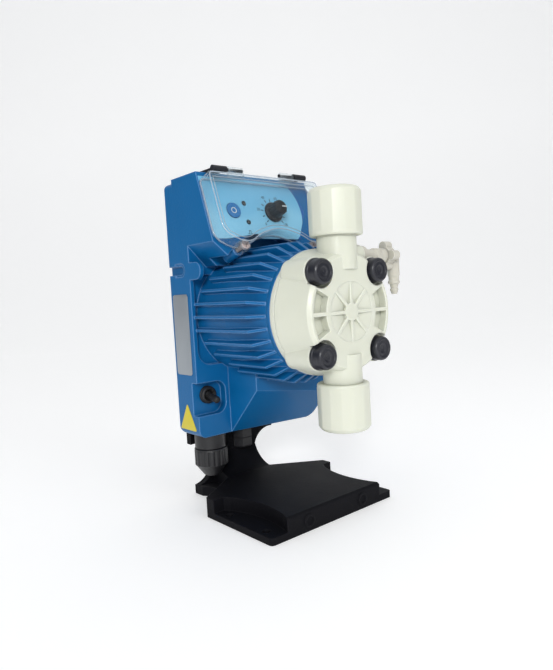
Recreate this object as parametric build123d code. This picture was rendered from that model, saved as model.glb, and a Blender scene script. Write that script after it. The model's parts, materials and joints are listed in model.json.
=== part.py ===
from build123d import *
import math
import os

# Diaphragm metering pump on a foot bracket, every piece in its own place.
#
# Millimetres. X runs to the pump's right, -Y is the front, +Z is up. The origin
# is the centre of the four foot holes, on the underside of the foot.
# "depth" is always counted forward from the flat back of the casing.

os.makedirs("parts", exist_ok=True)

# ---------------------------------------------------------------- plates on the side
PLATE_DEPTH = (5.5, 27.0)
PLATE_Z = (103.5, 166.0)
PLATE_THIN = 0.4
SIGN_DEPTH = (4.5, 28.0)
SIGN_Z = (60.0, 81.0)

# ---------------------------------------------------------------- fits
RUN = 0.05  # radial play of a turning or sliding fit
SEAT = 0.3  # play round a piece that drops into a pocket
WALL = 3.0  # moulded and cast wall

# ---------------------------------------------------------------- casing
HALF_W = 53.5
CASE_BOTTOM = 55.0
CASE_TOP = 253.5
TOP_STEP = 2.0
TOP_STEP_DEPTH = 14.0
STRIP_DEPTH = 31.5
BACK_ROUND = 4.0
COVER_T = 4.0
GASKET_T = 2.0
HEAD_Z = 148.0

HOUSING_LOW = 186.0
HOUSING_SIDE_LOW = 203.0
HOUSING_CORNER_X = 38.0
UNDER_GAP = 10.0
UNDER_ARC_DEPTH = 45.0

RECESS_FLOOR = 28.0
RECESS_HALF = 50.0
RECESS_LOW = 111.0
RECESS_TOP = 190.0
RECESS_ROUND = 11.0
PAD_EDGE = 24.0

KEEL_LEFT = -24.0
KEEL_LEFT_FRONT = -21.5
KEEL_FRONT = 64.0
KEEL_TOP = 111.0
KEEL_CLEAR_R = 57.0
CHIN_LEFT_DEPTH = 31.5
CHIN_RIGHT_DEPTH = 42.0
CHIN_TOP = 91.0
KEEL_ROUND = 6.0

# ---------------------------------------------------------------- fins
FIN_COUNT = 32
FIN_T = 2.0
FIN_R = 51.5
UNDER_ARC_R = FIN_R + UNDER_GAP
FIN_KNEE = 94.7
FIN_END = 106.6
FIN_END_R = 44.2
FIN_STARTS = (28.0, 27.0, 36.7, 42.0, 51.7)
CORE_R = 47.0
CORE_KNEE = 65.0
CORE_END_R = 43.5
CORE_FRONT = 112.0
CORE_LIP_R = 44.5

# ---------------------------------------------------------------- side slot and tongue
SLOT_Z = 184.2
SLOT_HALF = 3.3
SLOT_END = 21.5
SLOT_DEEP = 4.0
SLOT_LIP = 1.8
SLOT_LIP_START = 11.5
SLOT_LIP_DEEP = 1.2
TONGUE_Z = 182.8
TONGUE_DEPTH = 39.8
TONGUE_R = 6.5
TONGUE_T = 3.5

# ---------------------------------------------------------------- power switch
SWITCH_X = -40.5
SWITCH_Z = 87.0
POCKET_FLOOR = 24.5
POCKET_RIGHT = -27.4
POCKET_LOW = 72.0
POCKET_HIGH = 97.5
POCKET_ROUND = 8.0
BOOT_R = 7.0
BOOT_T = 4.5
LEVER_TILT = 13.0
LEVER_LONG = 14.5
LEVER_BALL_R = 3.2
LEVER_NECK_R = 1.9
LEVER_TIP_R = 2.9
SWITCH_STEM_R = 5.0
SWITCH_BODY_W = 13.0
SWITCH_BODY_H = 18.0
SWITCH_BODY_BACK = 7.0

# ---------------------------------------------------------------- sloping panel
PANEL_DEPTH = 50.0
PANEL_Z = 248.0
PANEL_TILT = 18.1
MEMBRANE_T = 0.8
MEMBRANE_LEFT = -52.5
MEMBRANE_TOP = 2.0
BUTTON_X = -28.6
BUTTON_V = 24.0
BUTTON_R = 6.0
BUTTON_RISE = 1.6
BUTTON_STROKE = 0.6
LED_X = -17.3
LED_V = (17.6, 32.9)
LED_R = 1.35
KNOB_X = 9.2
KNOB_V = 24.0
KNOB_R = 8.2
KNOB_GRIP_R = 6.2
KNOB_SKIRT_T = 2.2
KNOB_TALL = 11.2
KNOB_FLUTES = 14
SPINDLE_R = 3.0
BUSH_R = 4.6
POT_R = 8.5
BOARD_GAP = 12.0
BOARD_T = 1.6
BOARD_HALF = 40.0
BOARD_V = (4.0, 35.0)
BOARD_POST_R = 3.0

# ---------------------------------------------------------------- clear cover
LID_TALL = 15.0
LID_WALL = 1.8
LID_SIDE_V = 47.5
LID_ARC_R = UNDER_ARC_R
LID_SCREW_X = 33.5
LID_SCREW_V = 55.0
LID_BOSS_R = 5.2
LID_LUG_X = 25.0
LID_LUG_W = 13.0
HINGE_V = -4.0
HINGE_H = 9.0
HINGE_PIN_R = 1.3
HINGE_EYE_R = 2.6
ARM_IN = 33.0
ARM_OUT = 45.0
ARM_LEAF = 12.0
ARM_LEAF_T = 1.8
LID_SCREW_R = 1.8
LID_SCREW_HEAD_R = 3.4
LID_TIP_PLAY = 0.6
LID_SINK = 7.5
LID_SCREW_TOP = LID_TALL - 4.6
LID_TIP_LONG = 1.2

# ---------------------------------------------------------------- solenoid
YOKE_BACK = 44.0
YOKE_FRONT = 98.0
YOKE_R = 38.0
YOKE_WALL = 4.0
BORE_R = 16.0
COIL_IN_R = 17.5
POLE_BACK = 74.0
POLE_R = 15.0
ARMATURE_BACK = 52.0
ARMATURE_R = 14.0
ARMATURE_GAP = 3.0
STROKE = 1.25
SHAFT_R = 4.0
COLLAR_R = 9.5
COLLAR_T = 2.0
SPRING_R = (4.6, 12.0)
SPRING_T = 0.9
SPRING_DISCS = 5

# ---------------------------------------------------------------- pump head
PLATE_T = 4.0
HEAD_BACK = CORE_FRONT + PLATE_T
HEAD_FRONT = 144.4
HEAD_BACK_R = 44.2
HEAD_FRONT_R = 39.6
HEAD_EDGE = 2.0
DIAPHRAGM_R = 34.0
DIAPHRAGM_T = 2.0
CHAMBER_R = 28.0
CHAMBER_DEEP = 2.5
CORE_DISC_R = 11.0
CHANNEL_R = 3.0
CHANNEL_OFF = 18.0
BOLT_HALF = 27.15
BOLT_R = 2.5
BOLT_HEAD_R = 4.5
BOLT_HEAD_T = 5.0
BOLT_END = 101.0
BOSS_R = 9.6
BOSS_FRONT = 138.6
CAP_R = 9.0
CAP_FRONT = 147.8
CAP_DISH_R = 6.2
CAP_DISH = 1.6
PETAL_R = (6.0, 20.0)
PETAL_DEEP = 2.6
PETAL_RIB = 2.2
POCKET_R = (24.0, 35.5)
POCKET_DEEP = 12.0
POCKET_RIB = 2.4
POCKET_SPAN = 27.0

# ---------------------------------------------------------------- valves
VALVE_AHEAD = 17.0
VALVE_DEPTH = HEAD_BACK + VALVE_AHEAD
NECK_R = 13.5
NECK_IN = 28.5
TOP_NUT = (199.0, 231.0)
LOW_NUT = (67.5, 100.0)
NUT_R = 18.3
NUT_FACETS = 16
NUT_CHAMFER = 2.6
NUT_WEB = 7.0
THREAD_LONG = 15.0
SOCKET_R = 9.5
SEAT_TALL = 15.0
SEAT_BORE = 3.2
CAGE_R = 5.0
CAGE_TALL = 8.0
BALL_R = 4.5
TUBE_HOLE_R = 3.6
TUBE_NOSE_R = 5.6
SEAL_WIRE = 1.0

# ---------------------------------------------------------------- bleed valve
BLEED_SETBACK = 2.0
BLEED_DEPTH = VALVE_DEPTH - BLEED_SETBACK
BLEED_Z = 186.0
BLEED_R = 5.6
BLEED_SOCKET = (12.0, 22.0)
BLEED_SOCKET_R = 7.8
BLEED_END = 50.2
BLEED_KNOB = (50.6, 57.4)
BLEED_KNOB_HUB = 6.6
BLEED_LOBE_R = 10.5
BLEED_LOBE_W = 7.0
BLEED_TUBE_R = 2.4
BLEED_BORE_R = 1.2
ELBOW_X = 62.2
ELBOW_R = 4.5
ELBOW_TOP = 190.0
NIPPLE_STEP_Z = 165.0
NIPPLE_TIP_Z = 157.5
NIPPLE_R = 3.3
NIPPLE_TIP_R = 2.0

# ---------------------------------------------------------------- cable glands
GLAND_X = -36.0
GLAND_DEPTH = 18.5
GLAND_NUT_R = 13.2
GLAND_LOW = 21.0
GLAND_RIM = 40.0
GLAND_BODY_R = 12.4
GLAND_BORE_R = 4.0
SMALL_X = -5.5
SMALL_DEPTH = 20.0
SMALL_HEX = 8.6
SMALL_LOW = 38.0
SMALL_BORE_R = 2.6
GLAND_STEM_R = 7.8
SMALL_STEM_R = 5.0

# ---------------------------------------------------------------- foot bracket
FOOT_FRONT = 121.2
HOLE_X = 55.0
HOLE_HALF_Y = 21.0
HOLE_MID_DEPTH = 87.65
HOLE_R = 3.0
FOOT_HALF = 61.0
FOOT_BACK = 49.4
FOOT_TALL = 15.0
FLANGE_T = 5.0
DECK_WALL = 4.0
DECK_RIB_X = 20.0
SHELF_BACK = 55.5
PLATEAU = ((49.0, 60.0), (41.5, 93.0), (47.0, 121.2))
WAIST_HALF = 22.0
WAIST_Z = 25.6
WAIST_DEPTH = 20.0
SKIRT_HALF = 38.0
ARM_HALF = 43.0
ARM_WIDE_Z = 43.0
ARM_TOP = 120.0
ARM_TOP_HALF = 36.0
ARM_T = 6.0
FOOT_PLUG_X = 27.0
FOOT_PLUG_Z = 7.4
FOOT_PLUG_R = 4.6
ARM_SCREW = ((-24.0, 72.0), (24.0, 72.0), (-24.0, 108.0), (24.0, 108.0))
ARM_SCREW_R = 2.5
ARM_SCREW_LONG = 14.0
COVER_SCREW_X = 43.0
COVER_SCREW_Z = (65.0, 150.0, 241.0)
COVER_SCREW_R = 1.8
COVER_SCREW_LONG = 12.0


def y(depth):
    """World Y of a depth counted forward from the casing's back."""
    return HOLE_MID_DEPTH - depth


def box(x, depth, z):
    """Block between pairs of x, depth and z."""
    block = Box(x[1] - x[0], depth[1] - depth[0], z[1] - z[0])
    return Pos(sum(x) / 2, y(sum(depth) / 2), sum(z) / 2) * block


def rod(r, depth, x=0.0, z=HEAD_Z):
    """Round bar along the pump's axis direction, between two depths."""
    bar = Cylinder(r, depth[1] - depth[0])
    return Pos(x, y(sum(depth) / 2), z) * Rot(90, 0, 0) * bar


def post(r, z, x, depth):
    """Round bar along Z."""
    return Pos(x, y(depth), sum(z) / 2) * Cylinder(r, z[1] - z[0])


def cross(r, x, depth, z):
    """Round bar along X."""
    return Pos(sum(x) / 2, y(depth), z) * Rot(0, 90, 0) * Cylinder(r, x[1] - x[0])


def turned(points, x=0.0, z=HEAD_Z):
    """Body turned about the pump's axis from (depth, radius) points."""
    line = Polyline(*[(r, -y(d)) for d, r in points], close=True)
    face = make_face(line)
    spun = revolve(face, Axis.Y, 360)
    return Pos(x, 0, z) * Rot(180, 0, 0) * spun


def spun_up(points, x, depth):
    """Body turned about a vertical axis from (radius, z) points."""
    face = make_face(Plane.XZ * Polyline(*points, close=True))
    return Pos(x, y(depth), 0) * revolve(face, Axis.Z, 360)


def front_slab(face, depth):
    """Prism of an XZ outline between two depths."""
    plane = Plane(origin=(0, y(depth[0]), 0), x_dir=(1, 0, 0), z_dir=(0, -1, 0))
    return extrude(plane * face, depth[1] - depth[0])


def side_slab(points, x):
    """Prism of a (depth, z) outline between two x values."""
    face = make_face(Polyline(*points, close=True))
    plane = Plane(origin=(x[0], y(0), 0), x_dir=(0, -1, 0), z_dir=(-1, 0, 0))
    return extrude(plane * face, x[0] - x[1])


def plan_slab(face, z):
    """Prism of an (x, depth) outline between two heights."""
    plane = Plane(origin=(0, y(0), z[0]), x_dir=(1, 0, 0), z_dir=(0, 0, -1))
    return extrude(plane * face, z[0] - z[1])


def outline(*points):
    """Face of a closed polyline."""
    return make_face(Polyline(*points, close=True))


def beyond(point, direction):
    """Large block on the far side of a plane."""
    return Plane(origin=point, z_dir=direction) * Pos(0, 0, 200) * Box(400, 400, 400)


def one(shape):
    """The single solid of a boolean result."""
    return max(shape.solids(), key=lambda s: s.volume)


def save(name, *shapes):
    """Write one node of one or more separate solids."""
    solids = [solid for shape in shapes for solid in shape.solids()]
    body = solids[0] if len(solids) == 1 else Compound(children=solids)
    body.label = name
    export_step(body, f"parts/{name}.step")


def panel(h=0.0):
    """Plane of the sloping panel, raised by h, with its local y up the slope."""
    lean = math.radians(PANEL_TILT)
    normal = Vector(0, -math.cos(lean), math.sin(lean))
    origin = Vector(0, y(PANEL_DEPTH), PANEL_Z) + normal * h
    return Plane(origin=origin, x_dir=(1, 0, 0), z_dir=normal)


def on_panel(shape, x, v, h=0.0):
    """Place a shape on the panel, v measured down the slope."""
    return panel(h) * Pos(x, -v, 0) * shape


def peg(r, x, v, h):
    """Round bar along the panel's normal between two heights."""
    return on_panel(Pos(0, 0, (h[1] - h[0]) / 2) * Cylinder(r, h[1] - h[0]), x, v, h[0])


def panel_depth(z, h=0.0):
    """Depth at which the plane raised by h crosses height z."""
    lean = math.radians(PANEL_TILT)
    base = PANEL_DEPTH + h * math.cos(lean)
    return base + (PANEL_Z + h * math.sin(lean) - z) * math.tan(lean)


# ================================================================ front casing
def strip(inset, front):
    """Flat rear part of the casing, or its cavity when inset by the wall."""
    half = HALF_W - inset
    low = CASE_BOTTOM + inset
    high = CASE_TOP - inset
    step = TOP_STEP_DEPTH + inset
    body = box((-half, half), (step, front), (low, high))
    return body + box((-half, half), (-inset, step), (low, high - TOP_STEP))


def housing(inset):
    """Upper part that carries the sloping panel, down to the arc over the fins."""
    low = HOUSING_LOW + inset
    top = CASE_TOP - inset
    back = STRIP_DEPTH - WALL - 1
    slope = [
        (back, low),
        (panel_depth(low, -inset), low),
        (panel_depth(top, -inset), top),
        (back, top),
    ]
    half = HALF_W - inset
    body = side_slab(slope, (-half, half))
    for side in (-1, 1):
        corner = outline(
            (side * HOUSING_CORNER_X, HOUSING_LOW - 1),
            (side * (HOUSING_CORNER_X), HOUSING_LOW + inset),
            (side * (half + 1), HOUSING_SIDE_LOW + inset),
            (side * (half + 1), HOUSING_LOW - 1),
        )
        body -= front_slab(corner, (STRIP_DEPTH - inset, FIN_END))
    start = UNDER_ARC_DEPTH if inset == 0 else STRIP_DEPTH - WALL - 2
    return body - rod(UNDER_ARC_R + inset, (start, FIN_END))


def keel(inset):
    """Lower front block with its sloping chin, or its cavity when inset."""
    back = STRIP_DEPTH - WALL - 1
    side = outline(
        (KEEL_LEFT + inset, CASE_BOTTOM + inset),
        (HALF_W - inset, CASE_BOTTOM + inset),
        (HALF_W - inset, KEEL_TOP - inset),
        (KEEL_LEFT + inset, KEEL_TOP - inset),
    )
    body = front_slab(side, (back, KEEL_FRONT - inset))
    flare = outline(
        (KEEL_LEFT + inset, back),
        (KEEL_LEFT_FRONT + inset, KEEL_FRONT),
        (KEEL_LEFT - 5, KEEL_FRONT),
        (KEEL_LEFT - 5, back),
    )
    body -= plan_slab(flare, (CASE_BOTTOM, KEEL_TOP))
    left = Vector(KEEL_LEFT, y(CHIN_LEFT_DEPTH), CASE_BOTTOM)
    right = Vector(HALF_W, y(CHIN_RIGHT_DEPTH), CASE_BOTTOM)
    upper = Vector(KEEL_LEFT, y(KEEL_FRONT), CHIN_TOP)
    down = (right - left).cross(upper - left).normalized()
    body -= beyond(left - down * inset, down)
    clear = rod(KEEL_CLEAR_R + inset, (back, FIN_END))
    return body - (clear & box((PAD_EDGE - inset, HALF_W), (back, FIN_END), (0, CASE_TOP)))


def fins():
    """Ring of cooling fins, each a flat plate along the head's axis."""
    pitch = 360 / FIN_COUNT
    plates = []
    for number in range(FIN_COUNT):
        turn = number * pitch
        rise = abs((turn + 180) % 360 - 180)
        steps = min(rise, 180 - rise) / pitch
        place = min(round(steps), len(FIN_STARTS) - 1)
        start = FIN_STARTS[place]
        shape = outline(
            (start, CORE_END_R - WALL / 2),
            (start, FIN_R),
            (FIN_KNEE, FIN_R),
            (FIN_END, FIN_END_R),
            (FIN_END, CORE_END_R - WALL / 2),
        )
        plane = Plane(origin=(0, y(0), 0), x_dir=(0, -1, 0), z_dir=(1, 0, 0))
        plate = Pos(-FIN_T / 2, 0, 0) * extrude(plane * shape, FIN_T)
        plates.append(Pos(0, 0, HEAD_Z) * Rot(0, 90 + turn, 0) * plate)
    return plates


def fin_core():
    """Round wall that the fins stand on, with the lip that meets the head."""
    return turned([
        (RECESS_FLOOR, 0),
        (RECESS_FLOOR, CORE_R),
        (CORE_KNEE, CORE_R),
        (FIN_END, CORE_END_R),
        (CORE_FRONT - 2, CORE_LIP_R),
        (CORE_FRONT, CORE_LIP_R),
        (CORE_FRONT, 0),
    ])


def recess_face(grow):
    """Outline of the sunk field that the rear ends of the fins stand in."""
    half = RECESS_HALF + grow
    low = RECESS_LOW - grow
    field = outline(
        (-half, low), (half, low), (half, RECESS_TOP - 10), (-half, RECESS_TOP - 10)
    )
    field = fillet(field.vertices().group_by(Axis.Y)[0], RECESS_ROUND)
    stem = outline(
        (-PAD_EDGE - grow, CASE_BOTTOM + 20),
        (PAD_EDGE, CASE_BOTTOM + 20),
        (PAD_EDGE, low + 1),
        (-PAD_EDGE - grow, low + 1),
    )
    return field + stem


def side_slots():
    """Open-backed slot and its shallow lip, on both sides."""
    cuts = []
    for side in (-1, 1):
        for half, end, deep in (
            (SLOT_HALF, SLOT_END, SLOT_DEEP),
            (SLOT_HALF + SLOT_LIP, SLOT_END + SLOT_LIP * 2, SLOT_LIP_DEEP),
        ):
            x = sorted((side * HALF_W, side * (HALF_W - deep)))
            start = -1 if deep == SLOT_DEEP else SLOT_LIP_START
            mid = end - half
            cuts.append(box(x, (start, mid), (SLOT_Z - half, SLOT_Z + half)))
            cuts.append(cross(half, x, mid, SLOT_Z))
    return cuts


def slot_backing(grow=0.0):
    """Blocks inside the side walls that the slots are cut into."""
    blocks = []
    for side in (-1, 1):
        x = sorted((side * HALF_W, side * (HALF_W - SLOT_DEEP - 2 - grow)))
        tall = SLOT_HALF + SLOT_LIP + 2 + grow
        blocks.append(box(x, (0, SLOT_END + 6), (SLOT_Z - tall, SLOT_Z + tall)))
    return blocks


def front_casing():
    """Cast front shell with fins, pocket, bosses and every opening in it."""
    outer = strip(0, STRIP_DEPTH)
    back = [
        e for e in outer.edges().filter_by(Axis.Z)
        if abs(e.center().Y - y(0)) < 1 and abs(abs(e.center().X) - HALF_W) < 1
    ]
    outer = fillet(back, BACK_ROUND)
    crown = outer.edges().filter_by(Axis.X).group_by(Axis.Y)[-1].sort_by(Axis.Z)[-1]
    outer = fillet(crown, BACK_ROUND)
    upper = housing(0)
    lower = keel(0)
    body = outer + upper + lower
    rim = [
        e for e in body.edges().filter_by(Axis.Y)
        if e.center().Z < CASE_BOTTOM + 0.1 and abs(e.center().X) > HALF_W - 0.1
    ]
    body = fillet(rim, KEEL_ROUND) if len(rim) == 2 else body
    body -= strip(WALL, STRIP_DEPTH - WALL) + housing(WALL) + keel(WALL)
    body += front_slab(recess_face(WALL), (RECESS_FLOOR - WALL, STRIP_DEPTH))
    body -= front_slab(recess_face(0), (RECESS_FLOOR, STRIP_DEPTH + 1)) - upper - lower
    body += fin_core()
    body += [block & outer for block in slot_backing()]
    for side in (-1, 1):
        x = sorted((side * HALF_W, side * (HALF_W - TONGUE_T)))
        body += cross(TONGUE_R, x, TONGUE_DEPTH, TONGUE_Z)
        body += box(
            x, (STRIP_DEPTH - WALL, TONGUE_DEPTH), (TONGUE_Z - TONGUE_R, TONGUE_Z + TONGUE_R)
        )
    body += box(
        (-HALF_W, POCKET_RIGHT + WALL),
        (POCKET_FLOOR - WALL, STRIP_DEPTH),
        (POCKET_LOW - WALL, POCKET_HIGH + WALL),
    )
    pocket = outline(
        (-HALF_W - 1, POCKET_LOW), (POCKET_RIGHT, POCKET_LOW),
        (POCKET_RIGHT, POCKET_HIGH), (-HALF_W - 1, POCKET_HIGH),
    )
    corners = pocket.vertices().group_by(Axis.X)[-1]
    body -= front_slab(fillet(corners, POCKET_ROUND), (POCKET_FLOOR, STRIP_DEPTH + 1))
    body -= rod(SWITCH_STEM_R + SEAT, (POCKET_FLOOR - WALL - 1, POCKET_FLOOR + 1),
                SWITCH_X, SWITCH_Z)
    for x, z in cover_screw_places():
        body += rod(COVER_SCREW_R + 2, (COVER_T, STRIP_DEPTH - WALL + 0.5), x, z)
    for x in (-LID_SCREW_X, LID_SCREW_X):
        body += peg(LID_BOSS_R - 0.8, x, LID_SCREW_V, (-14, 0))
    body += panel_posts()
    body += fins()
    body += ledge()
    body -= rod(YOKE_R + RUN, (RECESS_FLOOR - WALL - 1, YOKE_FRONT))
    body -= rod(BORE_R, (YOKE_FRONT - 1, CORE_FRONT + 1))
    for x, z in bolt_places():
        body -= rod(BOLT_R, (BOLT_END - 1, CORE_FRONT + 1), x, z)
    for x, z in cover_screw_places():
        body -= rod(COVER_SCREW_R, (COVER_T - 1, STRIP_DEPTH - WALL - 4), x, z)
    body -= side_slots()
    body -= panel_holes()
    for x in (-LID_SCREW_X, LID_SCREW_X):
        body -= peg(LID_SCREW_R + LID_TIP_PLAY, x, LID_SCREW_V, (-9, 1))
    body -= post(GLAND_STEM_R + SEAT, (CASE_BOTTOM - 1, CASE_BOTTOM + WALL + 1),
                 GLAND_X, GLAND_DEPTH)
    body -= post(SMALL_STEM_R + SEAT, (CASE_BOTTOM - 1, CASE_BOTTOM + WALL + 1),
                 SMALL_X, SMALL_DEPTH)
    return one(body)


def frame(outer, wide, depth):
    """Rectangular frame inside the casing's rear opening."""
    half = HALF_W - outer
    x = (-half, half)
    z = (CASE_BOTTOM + outer, CASE_TOP - TOP_STEP - outer)
    hole_x = (-half + wide, half - wide)
    hole_z = (z[0] + wide, z[1] - wide)
    return box(x, depth, z) - box(hole_x, (depth[0] - 1, depth[1] + 1), hole_z)


def ledge():
    """Inner ledge that the cover's gasket is pressed on."""
    start = COVER_T + GASKET_T
    return frame(WALL - 0.5, GASKET_T + 0.5, (start, start + 3)) - slot_backing()


def cover_screw_places():
    """Places of the screws that hold the rear cover."""
    return [(side * COVER_SCREW_X, z) for side in (-1, 1) for z in COVER_SCREW_Z]


def bolt_places():
    """Places of the four head bolts."""
    return [(a * BOLT_HALF, HEAD_Z + b * BOLT_HALF) for a in (-1, 1) for b in (-1, 1)]


def panel_posts():
    """Posts behind the panel that the circuit board rests on."""
    return [
        peg(BOARD_POST_R, x, v, (-BOARD_GAP, -WALL / 2))
        for x in (-BOARD_HALF + 5, BOARD_HALF - 5)
        for v in (BOARD_V[0] + 4, BOARD_V[1] - 4)
    ]


def panel_holes():
    """Openings in the sloping panel for the button, the lamps and the dial."""
    through = (-WALL - 1, 1)
    cuts = [peg(BUTTON_R - 2 + SEAT, BUTTON_X, BUTTON_V, through)]
    cuts += [peg(LED_R + SEAT, LED_X, v, through) for v in LED_V]
    cuts.append(peg(BUSH_R + SEAT, KNOB_X, KNOB_V, through))
    return cuts


save("front_casing", front_casing())


# ================================================================ rear cover
def rear_cover():
    """Flat cover let into the back, with the bosses that the bracket bolts to."""
    play = WALL + SEAT
    plate = box(
        (-HALF_W + play, HALF_W - play),
        (0, COVER_T),
        (CASE_BOTTOM + play, CASE_TOP - TOP_STEP - play),
    )
    plate -= slot_backing(SEAT)
    for x, z in ARM_SCREW:
        plate += rod(ARM_SCREW_R + 2.5, (COVER_T / 2, ARM_SCREW_LONG - ARM_T + 2), x, z)
        plate -= rod(ARM_SCREW_R, (-1, ARM_SCREW_LONG - ARM_T + 0.5), x, z)
    for x, z in cover_screw_places():
        plate -= rod(COVER_SCREW_R + SEAT, (-1, COVER_T + 1), x, z)
        plate -= rod(COVER_SCREW_R + 1.6, (-1, COVER_T / 2), x, z)
    return one(plate)


def flat_screw(head_r, stem_r, seat, long, x, z, sink=0.0):
    """Screw along the depth whose head lies behind the seat plane."""
    head = rod(head_r, (seat - 1.8, seat), x, z)
    drive = rod(head_r * 0.45, (seat - 2.8, seat - 0.9), x, z)
    return head + rod(stem_r, (seat - sink, seat + long), x, z) - drive


save("rear_cover", rear_cover())
gasket = frame(WALL + SEAT, GASKET_T, (COVER_T, COVER_T + GASKET_T))
gasket -= [rod(COVER_SCREW_R + 2 + SEAT, (0, STRIP_DEPTH), x, z)
           for x, z in cover_screw_places()]
gasket -= slot_backing(SEAT)
save("cover_gasket", gasket)
save("cover_screws_rear", *[
    flat_screw(COVER_SCREW_R + 1.3, COVER_SCREW_R - RUN, COVER_T / 2, COVER_SCREW_LONG, x, z)
    for x, z in cover_screw_places()
])

# ================================================================ panel pieces
membrane = outline(
    (MEMBRANE_LEFT, MEMBRANE_TOP), (32.7, MEMBRANE_TOP), (43.6, -21.6), (31.8, -42.0),
    (31.8, -46.0), (-10.8, -46.0), (-10.8, -42.0), (-40.0, -46.5), (MEMBRANE_LEFT, -46.5),
)
turned_corners = [
    v for v in membrane.vertices() if v.X > 31 and -30 < v.Y < 0 or v.X < -52 and v.Y < 0
]
membrane = extrude(fillet(turned_corners, 4.0), MEMBRANE_T)
membrane = panel() * membrane
membrane -= peg(BUTTON_R + SEAT, BUTTON_X, BUTTON_V, (-1, 2))
membrane -= peg(BUSH_R + SEAT, KNOB_X, KNOB_V, (-1, 2))
for led_v in LED_V:
    membrane -= peg(LED_R + RUN, LED_X, led_v, (-1, 2))
save("panel_membrane", one(membrane))

button = peg(BUTTON_R, BUTTON_X, BUTTON_V, (BUTTON_STROKE + 0.1, BUTTON_RISE))
button = fillet(button.edges().sort_by(Axis.Y)[0], 0.4)
button += peg(BUTTON_R - 2, BUTTON_X, BUTTON_V, (-WALL - 1.5, BUTTON_STROKE + 0.3))
save("select_button", button)

switch_low = -BOARD_GAP
save("button_switch", peg(3.0, BUTTON_X, BUTTON_V, (switch_low, -WALL - 1.5 - BUTTON_STROKE - 0.2)))

lamps = []
for led_v in LED_V:
    dome = on_panel(Sphere(LED_R), LED_X, led_v, MEMBRANE_T)
    lamps.append(peg(LED_R, LED_X, led_v, (-BOARD_GAP, MEMBRANE_T)) + dome)
save("status_lamps", *lamps)

board = on_panel(
    Pos(0, 0, -BOARD_T / 2) * Box(2 * BOARD_HALF, BOARD_V[1] - BOARD_V[0], BOARD_T),
    0, sum(BOARD_V) / 2, -BOARD_GAP,
)
board -= rod(UNDER_ARC_R + WALL + SEAT, (STRIP_DEPTH, FIN_END))
save("circuit_board", board)
chips = [
    on_panel(Pos(0, 0, 1.5) * Box(w, d, 3), x, v, -BOARD_GAP)
    for x, v, w, d in ((-4, 12, 12, 7), (26, 14, 8, 8), (25, 24, 10, 6), (-6, 22, 8, 5))
]
save("board_chips", *chips)

knob_low = MEMBRANE_T + SEAT
knob = peg(KNOB_R, KNOB_X, KNOB_V, (knob_low, knob_low + KNOB_SKIRT_T))
grip = on_panel(
    extrude(Circle(KNOB_GRIP_R), KNOB_TALL - KNOB_SKIRT_T, taper=2),
    KNOB_X, KNOB_V, knob_low + KNOB_SKIRT_T,
)
for flute in range(KNOB_FLUTES):
    angle = math.radians(360 * flute / KNOB_FLUTES)
    x = KNOB_X + (KNOB_GRIP_R + 0.5) * math.cos(angle)
    v = KNOB_V + (KNOB_GRIP_R + 0.5) * math.sin(angle)
    grip -= peg(0.9, x, v, (knob_low + KNOB_SKIRT_T, KNOB_TALL + 2))
knob += grip
knob -= peg(SPINDLE_R + RUN, KNOB_X, KNOB_V, (0, KNOB_TALL - 1.5))
knob -= peg(BUSH_R + SEAT, KNOB_X, KNOB_V, (0, knob_low + 0.8))
save("dial_knob", one(knob))
knob_mark = on_panel(
    Box(KNOB_GRIP_R * 0.7, 1.0, 0.4), KNOB_X + KNOB_GRIP_R * 0.42, KNOB_V,
    knob_low + KNOB_TALL + 0.2,
)
save("knob_pointer", knob_mark)
save("dial_spindle", peg(SPINDLE_R, KNOB_X, KNOB_V, (-WALL - 4, KNOB_TALL - 1.7)))
pot = peg(POT_R, KNOB_X, KNOB_V, (-BOARD_GAP, -WALL - 1))
pot += peg(BUSH_R, KNOB_X, KNOB_V, (-WALL - 2, MEMBRANE_T))
pot -= peg(SPINDLE_R + RUN, KNOB_X, KNOB_V, (-WALL - 4.2, 2))
save("potentiometer", pot)


# ================================================================ clear cover
def lid_outline(inset):
    """Face of the clear cover seen square to the panel, y up the slope."""
    half = HALF_W - inset
    arc_mid = -(PANEL_Z - HEAD_Z - LID_ARC_R) / math.cos(math.radians(PANEL_TILT))
    face = outline(
        (-half, -inset), (half, -inset), (half, -LID_SIDE_V + inset),
        (LID_SCREW_X + LID_BOSS_R - inset, -LID_SCREW_V + inset),
        (LID_SCREW_X - LID_BOSS_R + inset, -LID_SCREW_V + inset),
        (LID_SCREW_X - 14, arc_mid - 3 + inset),
        (0, arc_mid + 2 + inset),
        (-LID_SCREW_X + 14, arc_mid - 3 + inset),
        (-LID_SCREW_X + LID_BOSS_R - inset, -LID_SCREW_V + inset),
        (-LID_SCREW_X - LID_BOSS_R + inset, -LID_SCREW_V + inset),
        (-half, -LID_SIDE_V + inset),
    )
    upper = [v for v in face.vertices() if v.Y > -20]
    return fillet(upper, max(4.0 - inset, 1.0))


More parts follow.
